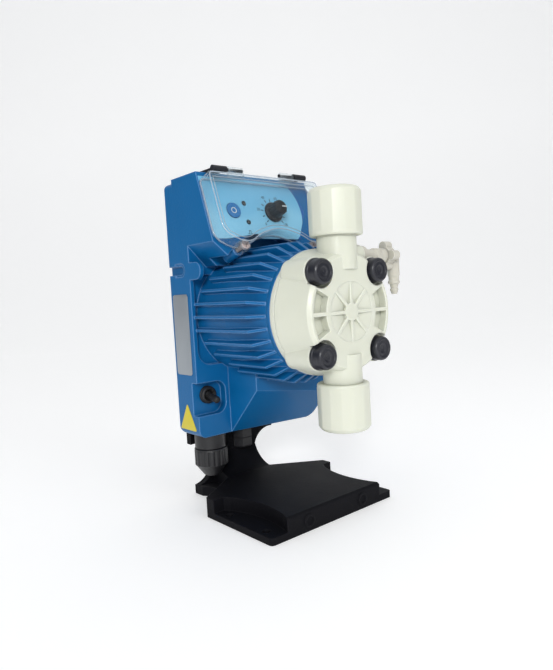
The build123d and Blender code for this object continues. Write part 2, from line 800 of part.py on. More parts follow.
def panel_cover():
    """Clear hinged cover over the whole panel."""
    seat = MEMBRANE_T + 0.2
    shell = panel(seat) * extrude(lid_outline(0), LID_TALL - seat)
    shell -= panel(seat - 1) * extrude(lid_outline(LID_WALL), LID_TALL - LID_WALL - seat + 1)
    arc = rod(LID_ARC_R - LID_WALL, (PANEL_DEPTH, FIN_END))
    shell -= arc
    for x in (-LID_SCREW_X, LID_SCREW_X):
        shell += peg(LID_BOSS_R, x, LID_SCREW_V, (seat, LID_TALL - 5))
        shell -= peg(LID_SCREW_R + SEAT, x, LID_SCREW_V, (-1, LID_TALL))
        shell -= peg(LID_SCREW_HEAD_R + SEAT, x, LID_SCREW_V, (LID_TALL - LID_SINK, LID_TALL + 1))
    for side in (-1, 1):
        x = side * LID_LUG_X
        eye = on_panel(Rot(0, 90, 0) * Cylinder(HINGE_EYE_R, LID_LUG_W), x, HINGE_V, HINGE_H)
        web = on_panel(Box(LID_LUG_W, HINGE_EYE_R - HINGE_V - 1, 2 * HINGE_EYE_R - 1.4), x,
                       (HINGE_V + 1) / 2, HINGE_H)
        hole = Rot(0, 90, 0) * Cylinder(HINGE_PIN_R + RUN, LID_LUG_W + 2)
        shell += eye + web
        shell -= on_panel(hole, x, HINGE_V, HINGE_H)
    return one(shell)


save("panel_cover", panel_cover())

arms = []
for side in (-1, 1):
    mid = side * (ARM_IN + ARM_OUT) / 2
    eye = on_panel(Rot(0, 90, 0) * Cylinder(HINGE_EYE_R, ARM_OUT - ARM_IN), mid, HINGE_V, HINGE_H)
    pin_mid = side * (LID_LUG_X - LID_LUG_W / 2 + ARM_IN) / 2
    pin_long = ARM_IN - LID_LUG_X + LID_LUG_W / 2 + 1
    pin = on_panel(Rot(0, 90, 0) * Cylinder(HINGE_PIN_R, pin_long), pin_mid, HINGE_V, HINGE_H)
    x = sorted((side * ARM_IN, side * ARM_OUT))
    axis_depth = PANEL_DEPTH + HINGE_H * 0.951 + HINGE_V * 0.311
    leaf = box(x, (PANEL_DEPTH - ARM_LEAF, axis_depth), (CASE_TOP, CASE_TOP + ARM_LEAF_T))
    arms.append(eye + pin + leaf)
save("hinge_arms", *arms)

save("lid_screws", *[
    peg(LID_SCREW_HEAD_R, x, LID_SCREW_V, (LID_TALL - LID_SINK + 0.2, LID_SCREW_TOP))
    + peg(LID_SCREW_R - RUN, x, LID_SCREW_V, (-LID_TIP_LONG, LID_SCREW_TOP - 1))
    - on_panel(Box(4.4, 1.0, 2.0), x, LID_SCREW_V, LID_SCREW_TOP)
    - on_panel(Box(1.0, 4.4, 2.0), x, LID_SCREW_V, LID_SCREW_TOP)
    for x in (-LID_SCREW_X, LID_SCREW_X)
])

# ================================================================ power switch
boot_front = POCKET_FLOOR + BOOT_T
ball_depth = POCKET_FLOOR + 1.5
boot = rod(BOOT_R, (POCKET_FLOOR, boot_front), SWITCH_X, SWITCH_Z)
boot = fillet(boot.edges().sort_by(Axis.Y)[0], 1.2)
funnel = turned(
    [(ball_depth + 1, 0), (ball_depth + 1, LEVER_BALL_R + RUN),
     (boot_front + 0.1, LEVER_BALL_R + 1.8), (boot_front + 0.1, 0)],
    SWITCH_X, SWITCH_Z,
)
boot -= funnel + rod(LEVER_BALL_R + RUN, (POCKET_FLOOR - 1, ball_depth + 1.1), SWITCH_X, SWITCH_Z)
save("switch_boot", boot)
body_front = POCKET_FLOOR - WALL
switch = box(
    (SWITCH_X - SWITCH_BODY_W / 2, SWITCH_X + SWITCH_BODY_W / 2),
    (SWITCH_BODY_BACK, body_front),
    (SWITCH_Z - SWITCH_BODY_H / 2, SWITCH_Z + SWITCH_BODY_H / 2),
)
switch += rod(SWITCH_STEM_R, (body_front - 1, POCKET_FLOOR), SWITCH_X, SWITCH_Z)
socket = Pos(SWITCH_X, y(ball_depth), SWITCH_Z) * Sphere(LEVER_BALL_R + RUN)
save("switch_body", switch - socket)
lever = turned(
    [(0, 0), (0, LEVER_NECK_R), (LEVER_LONG - 3, LEVER_TIP_R),
     (LEVER_LONG - 0.8, LEVER_TIP_R - 0.3), (LEVER_LONG, LEVER_TIP_R - 1.4), (LEVER_LONG, 0)],
    0, 0,
)
lever = Pos(0, -y(0), 0) * lever + Sphere(LEVER_BALL_R)
save("switch_lever", Pos(SWITCH_X, y(ball_depth), SWITCH_Z) * Rot(LEVER_TILT, 0, 0) * lever)

# ================================================================ solenoid
yoke = turned([
    (YOKE_BACK, ARMATURE_R + RUN), (YOKE_BACK, YOKE_R), (YOKE_FRONT, YOKE_R),
    (YOKE_FRONT, SHAFT_R + RUN), (POLE_BACK, SHAFT_R + RUN), (POLE_BACK, POLE_R),
    (YOKE_FRONT - YOKE_WALL, POLE_R), (YOKE_FRONT - YOKE_WALL, YOKE_R - YOKE_WALL),
    (YOKE_BACK + YOKE_WALL, YOKE_R - YOKE_WALL), (YOKE_BACK + YOKE_WALL, ARMATURE_R + RUN),
])
save("solenoid_yoke", yoke)
coil_depth = (YOKE_BACK + YOKE_WALL, YOKE_FRONT - YOKE_WALL)
bobbin = rod(COIL_IN_R, coil_depth) - rod(POLE_R + RUN, (YOKE_BACK, YOKE_FRONT))
for start in (coil_depth[0], coil_depth[1] - 2):
    flange = rod(YOKE_R - YOKE_WALL - SEAT, (start, start + 2))
    bobbin += flange - rod(POLE_R + RUN, (start - 1, start + 3))
save("coil_bobbin", bobbin)
wound = (coil_depth[0] + 2 + RUN, coil_depth[1] - 2 - RUN)
winding = rod(YOKE_R - YOKE_WALL - 1.2, wound) - rod(COIL_IN_R + RUN, (YOKE_BACK, YOKE_FRONT))
save("coil_winding", winding)
armature_front = POLE_BACK - ARMATURE_GAP
armature = rod(ARMATURE_R, (ARMATURE_BACK - 4, armature_front))
armature -= rod(SHAFT_R + RUN, (ARMATURE_BACK - 5, POLE_BACK))
save("armature", armature)
collar = (YOKE_FRONT + 1, YOKE_FRONT + 1 + COLLAR_T)
save("drive_shaft", rod(SHAFT_R, (ARMATURE_BACK - 4, CORE_FRONT + 1)) + rod(COLLAR_R, collar))
spring_back = collar[1] + STROKE + RUN
turn_long = (CORE_FRONT - RUN - spring_back) / SPRING_DISCS
cone = turn_long - SPRING_T
discs = []
for number in range(SPRING_DISCS):
    low = spring_back + number * turn_long
    rise = cone if number % 2 else -cone
    mid = low + (0 if number % 2 else cone)
    discs.append(turned([
        (mid, SPRING_R[0]), (mid + rise, SPRING_R[1]),
        (mid + rise + SPRING_T, SPRING_R[1]), (mid + SPRING_T, SPRING_R[0]),
    ]))
save("return_spring", *discs)

# ================================================================ pump head
def through_bolts(front):
    """Bolt holes with clearance, from the casing to a given depth."""
    return [rod(BOLT_R + SEAT, (CORE_FRONT - 1, front), x, z) for x, z in bolt_places()]


plate = rod(CORE_LIP_R, (CORE_FRONT, HEAD_BACK))
plate -= rod(SHAFT_R + RUN, (CORE_FRONT - 1, HEAD_BACK + 1))
plate -= rod(CORE_DISC_R + SEAT, (CORE_FRONT + 0.8, HEAD_BACK + 1))
plate -= through_bolts(HEAD_BACK + 1)
save("head_backplate", plate)

rim_front = HEAD_BACK + DIAPHRAGM_T
membrane_ring = rod(DIAPHRAGM_R, (HEAD_BACK, rim_front))
membrane_ring -= rod(CORE_DISC_R - 1.5, (HEAD_BACK - 1, rim_front + 1))
save("diaphragm", membrane_ring)
core_disc = rod(CORE_DISC_R - 1.5 - SEAT, (HEAD_BACK - 0.5, rim_front - 0.3))
core_disc += rod(CORE_DISC_R, (CORE_FRONT + 1.0, HEAD_BACK - STROKE - 0.3))
core_disc += rod(SHAFT_R + 1, (CORE_FRONT + 1.0, HEAD_BACK))
save("diaphragm_core", core_disc)


def pump_head():
    """Moulded liquid end with its valve necks, ribs and bolt bosses."""
    body = turned([
        (HEAD_BACK, 0), (HEAD_BACK, HEAD_BACK_R), (HEAD_FRONT - HEAD_EDGE, HEAD_FRONT_R),
        (HEAD_FRONT, HEAD_FRONT_R - HEAD_EDGE), (HEAD_FRONT, 0),
    ])
    for x, z in bolt_places():
        body -= rod(BOSS_R + 1.2, (BOSS_FRONT, HEAD_FRONT + 1), x, z)
        body += rod(BOSS_R, (HEAD_BACK, BOSS_FRONT), x, z)
    body = body - petals() - side_pockets()
    body += post(NECK_R, (HEAD_Z + NECK_IN, TOP_NUT[0] + THREAD_LONG), 0, VALVE_DEPTH)
    body += post(NECK_R, (LOW_NUT[1] - THREAD_LONG, HEAD_Z - NECK_IN), 0, VALVE_DEPTH)
    body += cross(BLEED_SOCKET_R, (0, BLEED_SOCKET[1]), BLEED_DEPTH, BLEED_Z)
    body -= rod(DIAPHRAGM_R + SEAT, (HEAD_BACK - 1, rim_front))
    body -= rod(CHAMBER_R, (HEAD_BACK, rim_front + CHAMBER_DEEP))
    body -= through_bolts(HEAD_FRONT + 1)
    for off in (-CHANNEL_OFF, CHANNEL_OFF):
        body -= rod(CHANNEL_R, (rim_front, VALVE_DEPTH), 0, HEAD_Z + off)
    top_seat = TOP_NUT[0] + THREAD_LONG - SEAT_TALL
    low_seat = LOW_NUT[1] - THREAD_LONG + SEAT_TALL
    body -= post(CHANNEL_R, (HEAD_Z + CHANNEL_OFF - CHANNEL_R, top_seat + 1), 0, VALVE_DEPTH)
    body -= post(CHANNEL_R, (low_seat - 1, HEAD_Z - CHANNEL_OFF + CHANNEL_R), 0, VALVE_DEPTH)
    body -= post(SOCKET_R, (top_seat, TOP_NUT[1]), 0, VALVE_DEPTH)
    body -= post(SOCKET_R, (LOW_NUT[0], low_seat), 0, VALVE_DEPTH)
    body -= cross(BLEED_R + 2, (BLEED_SOCKET[1], CORE_LIP_R), BLEED_DEPTH, BLEED_Z)
    body -= cross(BLEED_R + RUN, (BLEED_SOCKET[0], BLEED_SOCKET[1] + 1), BLEED_DEPTH, BLEED_Z)
    body -= cross(BLEED_BORE_R, (0, BLEED_SOCKET[1]), BLEED_DEPTH, BLEED_Z)
    return one(body)


def petals():
    """Sunk petals between the eight ribs of the face's centre disc."""
    front = (HEAD_FRONT - PETAL_DEEP, HEAD_FRONT + 1)
    ring = rod(PETAL_R[1], front) - rod(PETAL_R[0], (front[0] - 1, front[1] + 1))
    for number in range(4):
        bar = Rot(0, 45 * number, 0) * Box(2 * FIN_R, 3 * PETAL_DEEP, PETAL_RIB)
        ring -= Pos(0, y(HEAD_FRONT), HEAD_Z) * bar
    return ring


def side_pockets():
    """Deep pockets left and right of the centre disc, split by a level rib."""
    front = (HEAD_FRONT - POCKET_DEEP, HEAD_FRONT + 1)
    ring = rod(POCKET_R[1], front) - rod(POCKET_R[0], (front[0] - 1, front[1] + 1))
    ring -= box((-FIN_R, FIN_R), (front[0] - 1, front[1] + 1),
                (HEAD_Z - POCKET_RIB / 2, HEAD_Z + POCKET_RIB / 2))
    reach = FIN_R * math.tan(math.radians(POCKET_SPAN))
    wedge = outline((0, HEAD_Z), (FIN_R, HEAD_Z - reach), (FIN_R, HEAD_Z + reach))
    wedge += outline((0, HEAD_Z), (-FIN_R, HEAD_Z - reach), (-FIN_R, HEAD_Z + reach))
    return ring & front_slab(wedge, front)


save("pump_head", pump_head())
bolts, caps = [], []
for x, z in bolt_places():
    bolt = rod(BOLT_R - RUN, (BOLT_END, BOSS_FRONT), x, z)
    bolt += rod(BOLT_HEAD_R, (BOSS_FRONT, BOSS_FRONT + BOLT_HEAD_T), x, z)
    bolts.append(bolt)
    cap = rod(CAP_R, (BOSS_FRONT, CAP_FRONT), x, z)
    cap = chamfer(cap.edges().sort_by(Axis.Y)[0], 1.4)
    cap -= rod(CAP_DISH_R, (CAP_FRONT - CAP_DISH, CAP_FRONT + 1), x, z)
    cap -= rod(BOLT_HEAD_R + RUN, (BOSS_FRONT - 1, BOSS_FRONT + BOLT_HEAD_T + 0.2), x, z)
    caps.append(cap)
save("head_bolts", *bolts)
save("bolt_caps", *caps)

# ================================================================ valves
def valve_body(low):
    """Seat and ball cage in one turned piece, from its lower end."""
    tall = SEAT_TALL - 2 * SEAL_WIRE
    out = SOCKET_R - SEAT
    floor = low + tall - CAGE_TALL - 2
    return spun_up([
        (SEAT_BORE, low), (out, low), (out, low + tall), (CAGE_R, low + tall),
        (CAGE_R, floor), (SEAT_BORE, floor),
    ], 0, VALVE_DEPTH)


def ball(low):
    """Ball resting on the seat edge of the valve body that starts at low."""
    floor = low + SEAT_TALL - 2 * SEAL_WIRE - CAGE_TALL - 2
    rise = math.sqrt(BALL_R**2 - SEAT_BORE**2) + RUN / 2
    return Pos(0, y(VALVE_DEPTH), floor + rise) * Sphere(BALL_R)


def seal(low):
    """Flat sealing ring lying on the height low."""
    ring = post(SOCKET_R - 1, (low, low + 2 * SEAL_WIRE), 0, VALVE_DEPTH)
    return ring - post(SOCKET_R - 3, (low - 1, low + 3 * SEAL_WIRE), 0, VALVE_DEPTH)


def connector(start, end, way):
    """Tube connector between a neck and its nut, pointing up or down."""
    flange = end - way * (NUT_WEB + SEAT)
    tip = end - way * 1.5
    flange_r = NECK_R - 0.5
    return spun_up([
        (TUBE_HOLE_R, start), (flange_r, start), (flange_r, flange),
        (TUBE_NOSE_R, flange), (TUBE_NOSE_R, tip), (TUBE_HOLE_R, tip),
    ], 0, VALVE_DEPTH)


def valve_nut(near, end, way):
    """Shallow-faceted union nut with a chamfered outer end."""
    place = Pos(0, y(VALVE_DEPTH), min(near, end))
    tall = abs(end - near)
    body = place * extrude(RegularPolygon(NUT_R, NUT_FACETS), tall)
    edge = near + way * 0.8
    body &= spun_up([
        (0, near), (NUT_R - 0.8, near), (NUT_R, edge), (NUT_R, end - way * NUT_CHAMFER),
        (NUT_R - NUT_CHAMFER, end), (0, end),
    ], 0, VALVE_DEPTH)
    inside = end - way * NUT_WEB
    body -= post(NECK_R + RUN, sorted((near - way, inside)), 0, VALVE_DEPTH)
    return body - post(TUBE_NOSE_R + SEAT, sorted((inside - way, end + way)), 0, VALVE_DEPTH)


top_end = TOP_NUT[0] + THREAD_LONG
low_end = LOW_NUT[1] - THREAD_LONG
top_valve = top_end - SEAT_TALL + 2 * SEAL_WIRE
save("discharge_valve", valve_body(top_valve))
save("discharge_ball", ball(top_valve))
save("discharge_connector", connector(top_end + 2 * SEAL_WIRE, TOP_NUT[1], 1))
save("discharge_nut", valve_nut(TOP_NUT[0], TOP_NUT[1], 1))
save("suction_valve", valve_body(low_end))
save("suction_ball", ball(low_end))
save("suction_connector", connector(low_end - 2 * SEAL_WIRE, LOW_NUT[0], -1))
save("suction_nut", valve_nut(LOW_NUT[1], LOW_NUT[0], -1))
save("valve_seals", seal(top_valve - 2 * SEAL_WIRE), seal(top_end),
     seal(low_end - 2 * SEAL_WIRE), seal(low_end + SEAT_TALL - 2 * SEAL_WIRE))

# ================================================================ bleed valve
bleed = cross(BLEED_R, (BLEED_SOCKET[0] + SEAT, BLEED_END), BLEED_DEPTH, BLEED_Z)
bleed += cross(BLEED_R + 1.6, (BLEED_SOCKET[1] + SEAT, BLEED_SOCKET[1] + 5), BLEED_DEPTH, BLEED_Z)
bleed += cross(BLEED_TUBE_R, (BLEED_END - 1, ELBOW_X), BLEED_DEPTH, BLEED_Z)
bleed -= cross(BLEED_BORE_R, (0, ELBOW_X + 1), BLEED_DEPTH, BLEED_Z)
save("bleed_body", bleed)
wheel = cross(BLEED_KNOB_HUB, BLEED_KNOB, BLEED_DEPTH, BLEED_Z)
lobe_off = BLEED_LOBE_R - BLEED_LOBE_W / 2
for number in range(4):
    angle = math.radians(90 * number)
    out = (lobe_off * math.cos(angle), lobe_off * math.sin(angle))
    wheel += cross(BLEED_LOBE_W / 2, BLEED_KNOB, BLEED_DEPTH + out[0], BLEED_Z + out[1])
wheel -= cross(BLEED_TUBE_R + RUN, (BLEED_KNOB[0] - 1, BLEED_KNOB[1] + 1), BLEED_DEPTH, BLEED_Z)
save("bleed_knob", wheel)
elbow = post(ELBOW_R, (NIPPLE_STEP_Z, ELBOW_TOP), ELBOW_X, BLEED_DEPTH)
elbow += spun_up([
    (0, NIPPLE_TIP_Z), (NIPPLE_TIP_R, NIPPLE_TIP_Z), (NIPPLE_R, NIPPLE_STEP_Z - 1.5),
    (NIPPLE_R, NIPPLE_STEP_Z + 1), (0, NIPPLE_STEP_Z + 1),
], ELBOW_X, BLEED_DEPTH)
elbow -= cross(BLEED_TUBE_R + RUN, (BLEED_KNOB[1], ELBOW_X + RUN), BLEED_DEPTH, BLEED_Z)
elbow -= post(BLEED_BORE_R, (NIPPLE_TIP_Z - 1, BLEED_Z), ELBOW_X, BLEED_DEPTH)
save("bleed_nipple", elbow)

# ================================================================ cable glands
inside_z = CASE_BOTTOM + WALL
large = spun_up([
    (GLAND_BORE_R + 1.5, GLAND_LOW + 9), (GLAND_BODY_R - 3.4, GLAND_LOW + 9),
    (GLAND_BODY_R - 3.4, GLAND_RIM + 4), (GLAND_BODY_R, GLAND_RIM + 4),
    (GLAND_BODY_R, CASE_BOTTOM), (GLAND_STEM_R, CASE_BOTTOM),
    (GLAND_STEM_R, inside_z + 3), (GLAND_BORE_R + 1.5, inside_z + 3),
], GLAND_X, GLAND_DEPTH)
save("large_gland_body", large)
cup = spun_up([
    (GLAND_BORE_R, GLAND_LOW), (GLAND_BORE_R + 2.6, GLAND_LOW),
    (GLAND_NUT_R - 3, GLAND_LOW + 3.4), (GLAND_NUT_R, GLAND_LOW + 9),
    (GLAND_NUT_R, GLAND_RIM + 3.6), (GLAND_BODY_R - 3.4 + RUN, GLAND_RIM + 3.6),
    (GLAND_BODY_R - 3.4 + RUN, GLAND_LOW + 4.5), (GLAND_BORE_R, GLAND_LOW + 3.5),
], GLAND_X, GLAND_DEPTH)
for number in range(18):
    angle = math.radians(20 * number)
    cup -= post(0.8, (GLAND_LOW + 9, GLAND_RIM + 2), GLAND_X + GLAND_NUT_R * math.cos(angle),
                GLAND_DEPTH + GLAND_NUT_R * math.sin(angle))
save("large_gland_nut", cup)
save("large_gland_seal", spun_up([
    (GLAND_BORE_R, GLAND_LOW + 4.8), (GLAND_BODY_R - 3.7, GLAND_LOW + 4.8),
    (GLAND_BODY_R - 3.7, GLAND_LOW + 8.8), (GLAND_BORE_R, GLAND_LOW + 8.8),
], GLAND_X, GLAND_DEPTH))
nut_top = SMALL_LOW + 8
hexagon = Pos(SMALL_X, y(SMALL_DEPTH), nut_top + SEAT)
small = hexagon * extrude(RegularPolygon(SMALL_HEX, 6), CASE_BOTTOM - nut_top - SEAT)
small += post(SMALL_STEM_R, (SMALL_LOW + 4, inside_z + 3), SMALL_X, SMALL_DEPTH)
small -= post(SMALL_BORE_R, (SMALL_LOW, CASE_TOP), SMALL_X, SMALL_DEPTH)
save("small_gland_body", small)
cap = Pos(SMALL_X, y(SMALL_DEPTH), SMALL_LOW) * extrude(RegularPolygon(SMALL_HEX, 6), 8)
cap = chamfer(cap.edges().group_by(Axis.Z)[0], 1.2)
cap -= post(SMALL_STEM_R + RUN, (SMALL_LOW + 3.7, nut_top + 1), SMALL_X, SMALL_DEPTH)
cap -= post(SMALL_BORE_R, (0, nut_top), SMALL_X, SMALL_DEPTH)
save("small_gland_nut", cap)
rings = []
for x, depth, stem in ((GLAND_X, GLAND_DEPTH, GLAND_STEM_R), (SMALL_X, SMALL_DEPTH, SMALL_STEM_R)):
    ring = Pos(x, y(depth), inside_z) * extrude(RegularPolygon(stem + 3, 6), 2.6)
    rings.append(ring - post(stem + RUN, (CASE_BOTTOM, CASE_TOP), x, depth))
save("gland_locknuts", *rings)


# ================================================================ foot bracket
def both_sides(half):
    """Face together with its mirror image across the pump's middle plane."""
    return half + mirror(half, Plane.YZ)


def foot_bracket():
    """Foot plate with its raised deck and the waisted arm behind the casing."""
    flare = ThreePointArc((SKIRT_HALF, 7.4), (WAIST_HALF, WAIST_Z), (ARM_HALF, ARM_WIDE_Z))
    arm_half = make_face(flare + Polyline(
        (ARM_HALF, ARM_WIDE_Z), (ARM_HALF, ARM_WIDE_Z + 9), (ARM_TOP_HALF, ARM_WIDE_Z + 15),
        (ARM_TOP_HALF, ARM_TOP - 6), (ARM_TOP_HALF - 6, ARM_TOP), (0, ARM_TOP), (0, 0),
        (SKIRT_HALF, 0), (SKIRT_HALF, 7.4),
    ))
    body = front_slab(both_sides(arm_half), (-ARM_T, 0))
    bend = make_face(Polyline(
        (WAIST_DEPTH, FOOT_TALL), (WAIST_DEPTH, 0), (-ARM_T, 0), (-ARM_T, ARM_WIDE_Z),
        (0, ARM_WIDE_Z),
    ) + ThreePointArc((0, ARM_WIDE_Z), (6, FOOT_TALL + 8), (WAIST_DEPTH, FOOT_TALL)))
    plane = Plane(origin=(-WAIST_HALF, y(0), 0), x_dir=(0, -1, 0), z_dir=(-1, 0, 0))
    body += extrude(plane * bend, -2 * WAIST_HALF)
    skirt = outline((0, -ARM_T), (SKIRT_HALF, -ARM_T), (SKIRT_HALF, 5), (WAIST_HALF + 3, 24), (0, 24))
    body += plan_slab(both_sides(skirt), (0, 7.4))
    rear, middle, front = PLATEAU
    deck = make_face(Polyline(
        front, (0, FOOT_FRONT), (0, 0), (WAIST_HALF, 0), (WAIST_HALF, WAIST_DEPTH),
        (FOOT_HALF, FOOT_BACK - 3), (FOOT_HALF, SHELF_BACK), (rear[0] + 3, rear[1] - 4), rear,
    ) + ThreePointArc(rear, middle, front))
    deck = plan_slab(both_sides(deck), (0, FOOT_TALL))
    lip = deck.faces().sort_by(Axis.Z)[-1].edges().filter_by(Axis.X).sort_by(Axis.Y)[0]
    deck = chamfer(lip, 1.5)
    body += deck
    flange = outline((0, FOOT_BACK), (FOOT_HALF, FOOT_BACK), (FOOT_HALF, FOOT_FRONT), (0, FOOT_FRONT))
    flange = both_sides(flange)
    corners = [v for v in flange.vertices() if v.Y > FOOT_FRONT - 1 and abs(v.X) > 1]
    body += plan_slab(fillet(corners, 3), (0, FLANGE_T))
    fold = (FOOT_BACK - DECK_WALL + FOOT_FRONT) / 2
    bays = ((FOOT_BACK - DECK_WALL, fold - DECK_WALL / 2),
            (fold + DECK_WALL / 2, FOOT_FRONT - 2 * DECK_WALL))
    for x in ((DECK_WALL / 2, DECK_RIB_X - DECK_WALL / 2),
              (DECK_RIB_X + DECK_WALL / 2, PLATEAU[1][0] - DECK_WALL)):
        for side in (-1, 1):
            for depth in bays:
                body -= box(sorted((side * x[0], side * x[1])), depth,
                            (-1, FOOT_TALL - DECK_WALL))
    for side in (-1, 1):
        plug = rod(FOOT_PLUG_R, (FOOT_FRONT - 2, FOOT_FRONT + 0.8), side * FOOT_PLUG_X, FOOT_PLUG_Z)
        dish = rod(FOOT_PLUG_R - 1.4, (FOOT_FRONT, FOOT_FRONT + 2), side * FOOT_PLUG_X, FOOT_PLUG_Z)
        body += plug
        body -= dish
        for depth in (HOLE_MID_DEPTH - HOLE_HALF_Y, HOLE_MID_DEPTH + HOLE_HALF_Y):
            body -= post(HOLE_R, (-1, FOOT_TALL + 1), side * HOLE_X, depth)
    for x, z in ARM_SCREW:
        body -= rod(ARM_SCREW_R + SEAT, (-ARM_T - 1, 1), x, z)
    return one(body)


save("foot_bracket", foot_bracket())
save("bracket_screws", *[
    flat_screw(ARM_SCREW_R + 2, ARM_SCREW_R - RUN, -ARM_T, ARM_SCREW_LONG, x, z)
    for x, z in ARM_SCREW
])

# ================================================================ plates on the left side
plate_x = (-HALF_W - PLATE_THIN, -HALF_W)
rating = box(plate_x, PLATE_DEPTH, PLATE_Z)
save("side_plate", fillet(rating.edges().filter_by(Axis.X), 1.2))
tip = (sum(SIGN_DEPTH) / 2, SIGN_Z[1])
sign = side_slab([(SIGN_DEPTH[0], SIGN_Z[0]), (SIGN_DEPTH[1], SIGN_Z[0]), tip], plate_x)
save("side_triangle", fillet(sign.edges().filter_by(Axis.X), 1.5))
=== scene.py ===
"""Looks of a wall and foot mounted diaphragm metering pump, built round its CAD frame.

Metres, in the frame's own axes: +Z up, -Y towards the liquid end, +X to the right.
Every sub-assembly is a class that holds its sizes, builds its own meshes and dresses
the CAD nodes that it owns. Lengths in the dataclasses are in millimetres and are
turned into metres when a mesh is made.
"""

import json
import logging
import math
from dataclasses import dataclass, field
from enum import Enum

import bpy
import numpy as np
from mathutils import Matrix, Vector

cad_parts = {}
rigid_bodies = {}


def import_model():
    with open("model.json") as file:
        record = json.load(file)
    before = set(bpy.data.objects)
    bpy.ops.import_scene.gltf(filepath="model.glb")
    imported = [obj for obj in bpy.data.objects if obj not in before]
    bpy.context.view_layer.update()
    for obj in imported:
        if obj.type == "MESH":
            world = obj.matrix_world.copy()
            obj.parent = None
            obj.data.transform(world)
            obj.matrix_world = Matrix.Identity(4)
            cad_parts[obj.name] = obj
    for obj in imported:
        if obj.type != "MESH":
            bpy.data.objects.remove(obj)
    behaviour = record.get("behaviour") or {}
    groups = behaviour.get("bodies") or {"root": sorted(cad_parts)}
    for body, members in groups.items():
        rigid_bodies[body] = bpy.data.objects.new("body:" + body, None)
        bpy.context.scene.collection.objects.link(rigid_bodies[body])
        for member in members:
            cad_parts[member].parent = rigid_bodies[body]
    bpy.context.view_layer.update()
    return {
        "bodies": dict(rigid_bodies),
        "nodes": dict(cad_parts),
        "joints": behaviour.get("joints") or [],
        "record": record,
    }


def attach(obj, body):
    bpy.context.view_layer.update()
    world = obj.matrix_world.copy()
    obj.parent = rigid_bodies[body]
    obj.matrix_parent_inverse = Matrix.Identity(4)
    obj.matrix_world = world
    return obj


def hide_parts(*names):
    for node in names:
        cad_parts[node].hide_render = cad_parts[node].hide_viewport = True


LOG = logging.getLogger("metering_pump")
MM = 0.001
BACK_Y = 87.65
HEAD_Z = 148.0
PANEL_DEPTH = 50.0
PANEL_Z = 248.0
PANEL_TILT = math.radians(18.1)

CORNER_SHARE = 0.45
OUTLINE_SHARE = 0.48
CLOUD_SCALE = 26.0
SMEAR_SCALE = 160.0
SMEAR_STRETCH = 0.12
EDGE_GAIN = 7.0
SHADE_SAMPLES = 6
CLEFT_REACH = 0.012
BUMP_HEIGHT = 0.0004
PRINT_THICK = 0.06

Colour = tuple[float, float, float]
Array = np.ndarray


class Along(Enum):
    """Direction that a turned piece grows in, as its own height axis."""

    UP = (0.0, 0.0, 1.0)
    DOWN = (0.0, 0.0, -1.0)
    FRONT = (0.0, -1.0, 0.0)
    RIGHT = (1.0, 0.0, 0.0)
    PANEL = (0.0, -math.cos(PANEL_TILT), math.sin(PANEL_TILT))


class Mark(Enum):
    """Body of the frame that a piece rides on."""

    HOUSING = "housing"
    LID = "lid"
    BUTTON = "button"
    DIAL = "dial"
    SWITCH = "switch"
    BLEED = "bleed_wheel"


# ---------------------------------------------------------------- places
def place(x: float, depth: float, z: float) -> Array:
    """World point in millimetres of an x, a depth from the casing's back and a height."""
    return np.array([x, BACK_Y - depth, z])


def on_panel(x: float, v: float, h: float) -> Array:
    """World point in millimetres on the sloping panel, v down the slope and h above it.

    Args:
        x: Sideways place.
        v: Distance down the slope from the panel's datum.
        h: Height above the panel.

    Returns:
        The point as an array of three numbers.
    """
    cos, sin = math.cos(PANEL_TILT), math.sin(PANEL_TILT)
    return place(x, PANEL_DEPTH + h * cos + v * sin, PANEL_Z + h * sin - v * cos)


def basis(direction: tuple[float, float, float]) -> Array:
    """Right-handed axes with the third along a direction.

    Args:
        direction: Direction of the third axis.

    Returns:
        Three unit axes as the columns of a 3 by 3 array; the first is level.
    """
    third = np.array(direction) / np.linalg.norm(direction)
    side = np.array([0.0, 0.0, 1.0]) if abs(third[2]) < 0.9 else np.array([0.0, -1.0, 0.0])
    first = np.cross(side, third)
    first /= np.linalg.norm(first)
    return np.column_stack([first, np.cross(third, first), third])


# ---------------------------------------------------------------- meshes
def add_object(name: str, data: bpy.types.ID) -> bpy.types.Object:
    """New object of some data, linked to the scene."""
    made = bpy.data.objects.new(name, data)
    bpy.context.collection.objects.link(made)
    return made


def add_mesh(name: str, points: Array, faces: list) -> bpy.types.Object:
    """New smooth mesh object at the origin from points in millimetres.

    Args:
        name: Name of the piece.
        points: Array of n by 3 points.
        faces: Lists of point numbers, turned outwards.

    Returns:
        The object, linked to the scene.
    """
    mesh = bpy.data.meshes.new(name)
    mesh.from_pydata((points * MM).tolist(), [], faces)
    mesh.validate()
    mesh.polygons.foreach_set("use_smooth", np.full(len(mesh.polygons), True))
    mesh.update()
    return add_object(name, mesh)


def grid_faces(rows: int, columns: int, wrap_rows: bool = False) -> Array:
    """Quads of a grid of points whose columns close round.

    Args:
        rows: Rows of points, one after another along the profile.
        columns: Points in each row.
        wrap_rows: Whether the last row joins the first.

    Returns:
        Array of quads as point numbers.
    """
    last = rows if wrap_rows else rows - 1
    row, column = np.meshgrid(np.arange(last), np.arange(columns), indexing="ij")
    below, beside = (row + 1) % rows, (column + 1) % columns
    quads = [row * columns + column, row * columns + beside,
             below * columns + beside, below * columns + column]
    return np.stack(quads, axis=-1).reshape(-1, 4)


